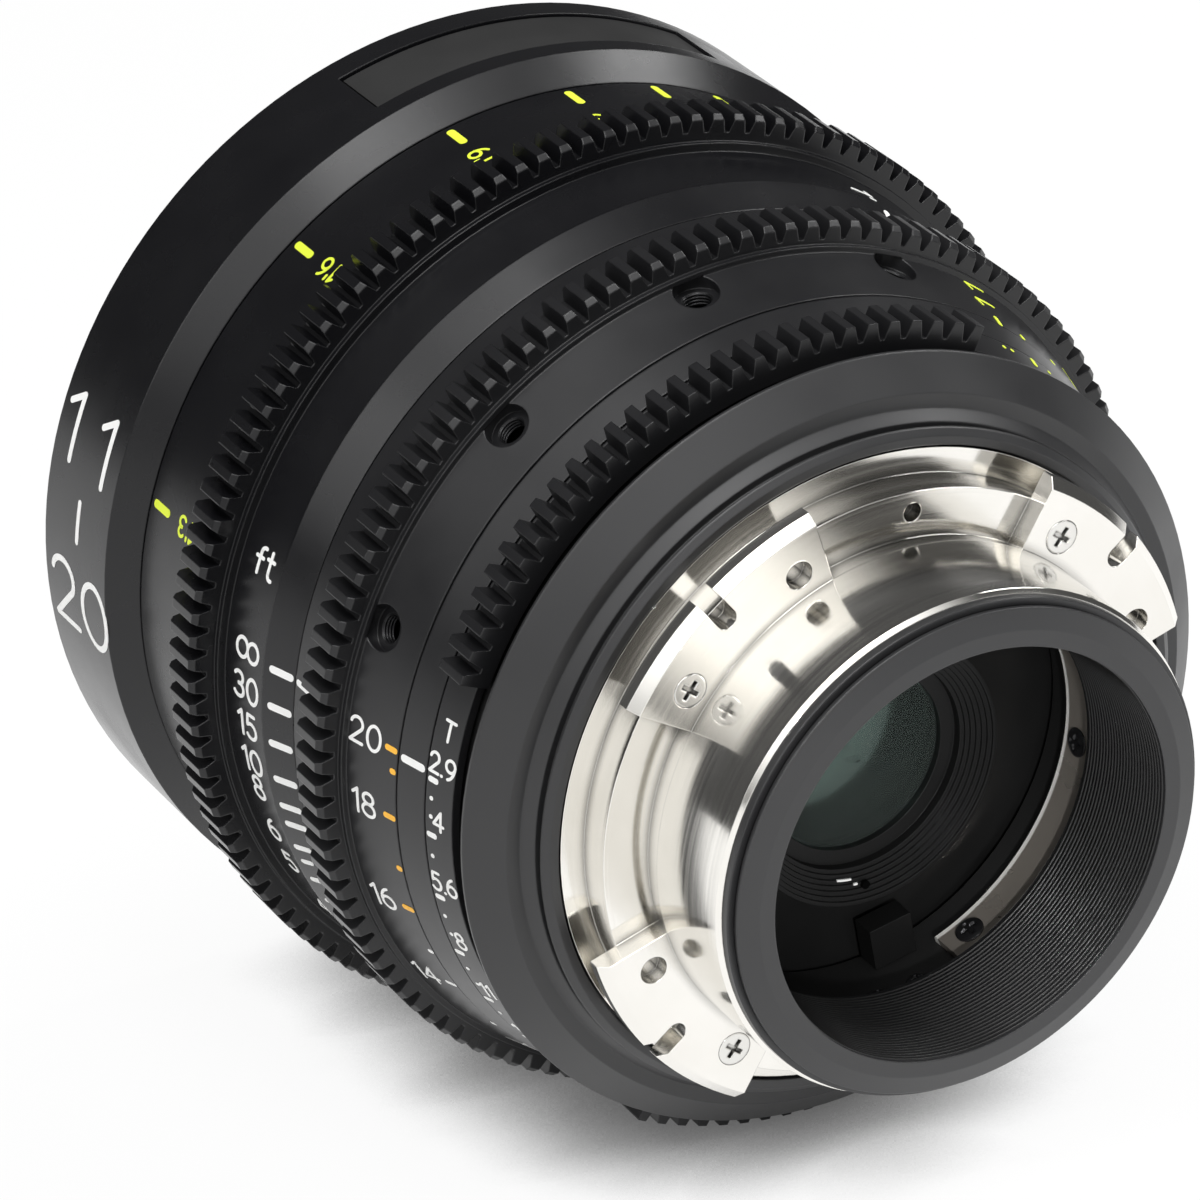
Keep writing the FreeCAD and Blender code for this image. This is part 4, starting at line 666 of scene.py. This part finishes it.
# iris scale, with two dots to a stop but where a number stands on one; its last mark has no number
irisScale = {"2.9": 180.1, "4": 188.4, "5.6": 198.4, "8": 208.3, "11": 218.1, "16": 228.0, "22": 238.0}
irisStyle = {"side": 1, "height": 2.05, "stretch": 1.0, "gap": 0.2, "stroke": 0.32}
labels = [(text, angle - 2.6, 16.6) for text, angle in irisScale.items() if text != "22"] + [("T", 172.4, 16.5)]
printLettering("irisNumbersWhite", "irisRing", labels, irisStyle, "white", "iris_control")
labels = [(text, angle - 180 + 2.6, 16.6) for text, angle in irisScale.items() if text != "22"]
printLettering("irisNumbersYellow", "irisRing", labels, dict(irisStyle, side=-1), "yellow", "iris_control")
stops = list(irisScale.values())
dots = [low + (high - low) * share for low, high in zip(stops, stops[1:]) for share in (0.33, 0.66)]
dots = [angle for angle in dots if not 193 < angle < 197] + [242.4, 244.0]
irisMarks = {
    "irisTicksWhite": (stops, 0, 16.85, 18.25, 0.6, "white"),
    "irisDotsWhite": (dots, 0, 17.38, 17.88, 0.46, "white"),
    "irisTicksYellow": (stops, 180, 16.85, 18.25, 0.6, "yellow"),
    "irisDotsYellow": (dots, 180, 17.38, 17.88, 0.46, "yellow"),
}
for name, (angles, turned, start, end, width, ink) in irisMarks.items():
    printTicks(name, "irisRing", [angle - turned for angle in angles], start, end, width, ink, "iris_control")
printTicks("barrelIndexMark", "indexBand", [179.4], 18.8, 22.1, 0.8, "white", "lens_body")
printTicks("barrelIndexMarkYellow", "indexBand", [359.4], 18.8, 22.1, 0.8, "yellow", "lens_body")

# the zoom range in large numerals on the front ring
rangeStyle = {"side": 1, "height": 7.2, "stretch": 1.22, "gap": 0.22, "stroke": 0.72}
rangeMarks = {
    "zoomRangeShort": (("11", 168.75, 80.1), dict(rangeStyle, **wideSpacing)),
    "zoomRangeDash": (("|", 179.2, 79.1), dict(rangeStyle, height=4.4, stroke=0.68)),
    "zoomRangeLong": (("20", 189.85, 78.75), rangeStyle),
}
for name, (label, style) in rangeMarks.items():
    printLettering(name, "frontRing", [label], style, "white", "lens_body")
print("scales printed")

# ribs in the rear tube, threads in the lever holes
axis, across = Vector((0, 1, 0)), Vector((1, 0, 0))
ribs = {
    "start": -13.0,
    "rings": {"Radius": 22.14 * mm, "Rib": 0.19 * mm, "Pitch": 0.5 * mm, "Rings": 26, "Segments": 160},
}
spots = [(axis * ribs["start"] * mm, axis, across)]
growTree("boreRibs", ringTree, spots, ribs["rings"], paint["ribBlack"], "lens_body")
threads = {
    "angles": (165, 135, 105, 75, 345, 315, 285, 255), "along": 28.0, "from": 42.1,
    "rings": {"Radius": 1.5 * mm, "Rib": 0.14 * mm, "Pitch": 0.35 * mm, "Rings": 4, "Segments": 32},
}
spots = []
for angle in threads["angles"]:
    outward = aroundAxis(angle)
    spots.append(((outward * threads["from"] + axis * threads["along"]) * mm, outward, axis))
growTree("leverThreads", ringTree, spots, threads["rings"], paint["blackSteel"], "zoom_control")
print("ribs and threads made")

# domed cross head screws in the bore, in place of the plain heads; shares are of the head's radius or rise
boreScrews = {
    "strip_screw_1": {"angle": 305.0, "along": 3.0, "seat": 23.15, "radius": 1.5, "rise": 0.48},
    "strip_screw_2": {"angle": 1.0, "along": 3.0, "seat": 23.15, "radius": 1.5, "rise": 0.48},
    "strip_screw_3": {"angle": 57.0, "along": 3.0, "seat": 23.15, "radius": 1.5, "rise": 0.48},
    "bore_screw_1": {"angle": 276.5, "along": 1.9, "seat": 24.15, "radius": 1.15, "rise": 0.58},
    "bore_screw_2": {"angle": 287.0, "along": 1.9, "seat": 24.15, "radius": 1.15, "rise": 0.58},
}
dome = {
    "segments": 56, "rings": 16, "wall": 0.3,
    "crossWidth": 0.15, "crossReach": 0.58, "crossBlur": 0.08, "crossDepth": 0.55,
}


def sunkCross(x, y):
    # 1 in the cross recess and 0 outside, for places in units of the head's radius
    def inside(distance, edge):
        return min(1.0, max(0.0, (edge - abs(distance)) / dome["crossBlur"] + 0.5))
    return max(inside(x, dome["crossWidth"]) * inside(y, dome["crossReach"]),
               inside(y, dome["crossWidth"]) * inside(x, dome["crossReach"]))


def domedScrew(name, screw):
    segments, rings, wall = dome["segments"], dome["rings"], dome["wall"]
    around = aroundAxis(screw["angle"])
    side = axis.cross(around)
    origin = around * screw["seat"] + axis * screw["along"]
    shares = [(ring + 1) / rings for ring in range(rings)]
    levels = [(share, wall + (1 - wall) * (1 - share * share)) for share in shares]
    places = [origin - around * screw["rise"] * (1 - dome["crossDepth"])]
    for share, height in levels + [(1.0, 0.0)]:
        for step in range(segments):
            turn = 2 * math.pi * step / segments
            x, y = share * math.cos(turn), share * math.sin(turn)
            lift = screw["rise"] * (height - dome["crossDepth"] * sunkCross(x, y) * (height > 0))
            places.append(origin + (side * x + axis * y) * screw["radius"] - around * lift)
    faces = [(0, 1 + step, 1 + (step + 1) % segments) for step in range(segments)]
    for ring in range(rings):
        first, second = 1 + ring * segments, 1 + (ring + 1) * segments
        for step in range(segments):
            following = (step + 1) % segments
            faces.append((first + step, second + step, second + following, first + following))
    last = 1 + rings * segments
    faces.append(tuple(last + step for step in reversed(range(segments))))
    places = [place * mm for place in places]
    head = keepSolid(name + "Domed", places, faces, paint["blackSteel"], "lens_body")
    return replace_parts(head, name)


for name, screw in boreScrews.items():
    domedScrew(name, screw)

# a short black cylinder as painted shade for a small drilled hole in the stepped baffle, and white lines along two step
# edges beside it
paintedHoleShade = {"angle": 276.6, "from": 12.96, "radius": 0.45, "front": 5.12, "depth": 0.4, "segments": 32}
whiteEdges = {
    "whiteEdgeLong": {"radius": 12.285, "along": 5.81, "start": 262.4, "end": 270.2, "half": 0.1, "steps": 16},
    "whiteEdgeShort": {"radius": 12.73, "along": 5.486, "start": 270.9, "end": 272.9, "half": 0.1, "steps": 16},
}


def edgeRod(name, rod):
    # a thin square rod round the axis, closed at both ends
    corners = [(-1, -1), (1, -1), (1, 1), (-1, 1)]
    steps = rod["steps"]
    places = []
    for step in range(steps + 1):
        around = aroundAxis(rod["start"] + (rod["end"] - rod["start"]) * step / steps)
        places += [(around * (rod["radius"] + out * rod["half"]) + axis * (rod["along"] + back * rod["half"])) * mm
                   for out, back in corners]
    faces = [(4 * step + side, 4 * step + (side + 1) % 4, 4 * step + 4 + (side + 1) % 4, 4 * step + 4 + side)
             for step in range(steps) for side in range(4)]
    faces += [(3, 2, 1, 0), tuple(4 * steps + side for side in range(4))]
    return keepSolid(name, places, faces, paint["whitePaint"], "lens_body")


for name, rod in whiteEdges.items():
    edgeRod(name, rod)
centre = aroundAxis(paintedHoleShade["angle"]) * paintedHoleShade["from"] + axis * (paintedHoleShade["front"] + paintedHoleShade["depth"] / 2)
mesh = bpy.data.meshes.new("paintedHoleShade")
shape = bmesh.new()
bmesh.ops.create_cone(
    shape, cap_ends=True, segments=paintedHoleShade["segments"],
    radius1=paintedHoleShade["radius"] * mm, radius2=paintedHoleShade["radius"] * mm, depth=paintedHoleShade["depth"] * mm,
    matrix=Matrix.Translation(centre * mm) @ Matrix.Rotation(math.radians(90), 4, "X"))
shape.to_mesh(mesh)
shape.free()
keepMesh("paintedHoleShade", mesh, paint["paintedShadeBlack"], "lens_body")
print("bore screws and marks made")

# floor under the lens as it lies on its focus gear and iris gear
stage = {
    "upAngle": 96.7, "frontStation": 57.0, "frontRadius": 50.45, "rearStation": 13.8, "rearRadius": 43.95, "size": 6.0,
    "tone": 0.85, "shadowReach": 0.016, "seen": 0.93, "mirrorGain": 0.25,
}
roll = aroundAxis(stage["upAngle"])
slope = (stage["frontRadius"] - stage["rearRadius"]) / (stage["frontStation"] - stage["rearStation"])
floorUp = (roll + axis * slope).normalized()
floorPlace = (axis * stage["frontStation"] - roll * stage["frontRadius"]) * mm
floorMesh = bpy.data.meshes.new("floor")
half = stage["size"] / 2
floorMesh.from_pydata([(-half, -half, 0), (half, -half, 0), (half, half, 0), (-half, half, 0)], [], [(0, 1, 2, 3)])
floorMesh.transform(Matrix.Translation(floorPlace) @ floorUp.to_track_quat("Z", "Y").to_matrix().to_4x4())
floor = bpy.data.objects.new("floor", floorMesh)
bpy.context.scene.collection.objects.link(floor)

# lit as a plain floor, and seen as a white one with a painted shadow that darkens it where the lens is near
floorMaterial = bpy.data.materials.new("paleFloor")
floorMaterial.use_nodes = True
tree = floorMaterial.node_tree
shader = tree.nodes["Principled BSDF"]
feed(shader, Base_Color=(stage["tone"], stage["tone"], stage["tone"], 1), Roughness=0.9, Specular_IOR_Level=0.1)
# painted contact shadow: ambient occlusion near the lens dims the floor's glow
near = addNode(tree, "ShaderNodeAmbientOcclusion", samples=8)
feed(near, Distance=stage["shadowReach"])
paintedShadowGlow = addNode(tree, "ShaderNodeMapRange", interpolation_type="SMOOTHSTEP")
feed(paintedShadowGlow, **paintedShadeRamp)
tree.links.new(near.outputs["AO"], paintedShadowGlow.inputs["Value"])
rays = addNode(tree, "ShaderNodeLightPath")
cameraRay, glossyRay = rays.outputs["Is Camera Ray"], rays.outputs["Is Glossy Ray"]
gain = math2(tree, "ADD", 1.0, math2(tree, "MULTIPLY", glossyRay, stage["mirrorGain"]))
glow = addNode(tree, "ShaderNodeEmission")
feed(glow, Color=(1, 1, 1, 1))
tree.links.new(math2(tree, "MULTIPLY", paintedShadowGlow.outputs["Result"], gain), glow.inputs["Strength"])
seen = math2(tree, "MAXIMUM", math2(tree, "MAXIMUM", cameraRay, glossyRay), rays.outputs["Is Transmission Ray"])
# the underside is clear to a camera that looks up from below
sides = addNode(tree, "ShaderNodeNewGeometry")
clear = addNode(tree, "ShaderNodeBsdfTransparent")
below = math2(tree, "MULTIPLY", sides.outputs["Backfacing"], cameraRay)
surface = shader.outputs[0]
for share, layer in ((math2(tree, "MULTIPLY", seen, stage["seen"]), glow), (below, clear)):
    blend = addNode(tree, "ShaderNodeMixShader")
    tree.links.new(share, blend.inputs[0])
    tree.links.new(surface, blend.inputs[1])
    tree.links.new(layer.outputs[0], blend.inputs[2])
    surface = blend.outputs[0]
tree.links.new(surface, tree.nodes["Material Output"].inputs["Surface"])
floor.data.materials.append(floorMaterial)

# pale surroundings; what mirrors them sees a bright upper left and a dim rest
studio = {
    "brightSide": (-0.5, -0.3, 0.81), "from": 0.5, "to": 0.95, "dim": 0.08, "bright": 2.1, "given": 0.5, "seen": 0.96,
}
world = bpy.data.worlds.new("studio")
bpy.context.scene.world = world
world.use_nodes = True
tree = world.node_tree
backdrop = tree.nodes["Background"]
place = addNode(tree, "ShaderNodeTexCoord")
facing = addNode(tree, "ShaderNodeVectorMath", operation="DOT_PRODUCT")
facing.inputs[1].default_value = studio["brightSide"]
tree.links.new(place.outputs["Generated"], facing.inputs[0])
mirrored = addNode(tree, "ShaderNodeMapRange", interpolation_type="SMOOTHSTEP")
feed(mirrored, From_Min=studio["from"], From_Max=studio["to"], To_Min=studio["dim"], To_Max=studio["bright"])
tree.links.new(facing.outputs["Value"], mirrored.inputs["Value"])
rays = addNode(tree, "ShaderNodeLightPath")
given = studio["given"]
beyond = math2(tree, "SUBTRACT", mirrored.outputs["Result"], given)
mirror = math2(tree, "MULTIPLY", beyond, rays.outputs["Is Glossy Ray"])
straight = math2(tree, "MAXIMUM", rays.outputs["Is Camera Ray"], rays.outputs["Is Transmission Ray"])
plain = math2(tree, "MULTIPLY", straight, studio["seen"] - given)
tree.links.new(math2(tree, "ADD", math2(tree, "ADD", mirror, plain), given), backdrop.inputs["Strength"])
feed(backdrop, Color=(1, 1, 1, 1))


def aimLamp(name, light, place, target):
    holder = bpy.data.objects.new(name, light)
    bpy.context.scene.collection.objects.link(holder)
    holder.location = place
    holder.rotation_euler = (Vector(target) - Vector(place)).to_track_quat("-Z", "Y").to_euler()


def softbox(name, lamp):
    light = bpy.data.lights.new(name, "AREA")
    light.shape = "RECTANGLE"
    light.size, light.size_y = lamp["width"], lamp["height"]
    light.energy = lamp["power"]
    aimLamp(name, light, lamp["place"], lamp["target"])


lamps = {
    "topLight": {"place": (-0.3, -0.15, 0.9), "target": (0, 0.04, 0), "width": 0.6, "height": 0.5, "power": 6.0},
    "leftLight": {"place": (-0.9, 0.1, 0.35), "target": (0, 0.04, 0), "width": 0.2, "height": 0.6, "power": 1.6},
    "keyLight": {"place": (0.6, 0.0, 0.75), "target": (0, 0.04, 0), "width": 0.4, "height": 0.35, "power": 5.0},
}
for name, lamp in lamps.items():
    softbox(name, lamp)

# a narrow lamp from behind the camera's shoulder into the rear tube
boreLight = {
    "place": (-0.22, -0.52, 0.16), "target": (0.006, -0.004, -0.006),
    "power": 11.0, "spread": 6.4, "blend": 0.6, "size": 0.02,
}
boreLamp = bpy.data.lights.new("boreLamp", "SPOT")
boreLamp.energy = boreLight["power"]
boreLamp.spot_size = math.radians(boreLight["spread"])
boreLamp.spot_blend = boreLight["blend"]
boreLamp.shadow_soft_size = boreLight["size"]
aimLamp("boreLamp", boreLamp, boreLight["place"], boreLight["target"])

# camera at the photograph's viewing angle
view = {
    "place": (-0.32567, -0.44804, 0.27669), "right": (0.86068, -0.49900, 0.10111), "up": (0.13512, 0.41533, 0.89958),
    "back": (-0.49079, -0.76064, 0.42490), "lens": 191.44, "sensor": 36.0, "nearest": 0.01,
}
cameraData = bpy.data.cameras.new("camera")
cameraData.lens = view["lens"]
cameraData.sensor_width = view["sensor"]
cameraData.clip_start = view["nearest"]
camera = bpy.data.objects.new("camera", cameraData)
bpy.context.scene.collection.objects.link(camera)
pose = Matrix((view["right"], view["up"], view["back"])).transposed().to_4x4()
camera.matrix_world = Matrix.Translation(view["place"]) @ pose
bpy.context.scene.camera = camera
bpy.context.scene.view_settings.view_transform = "Standard"

print("camera, light and floor ready")
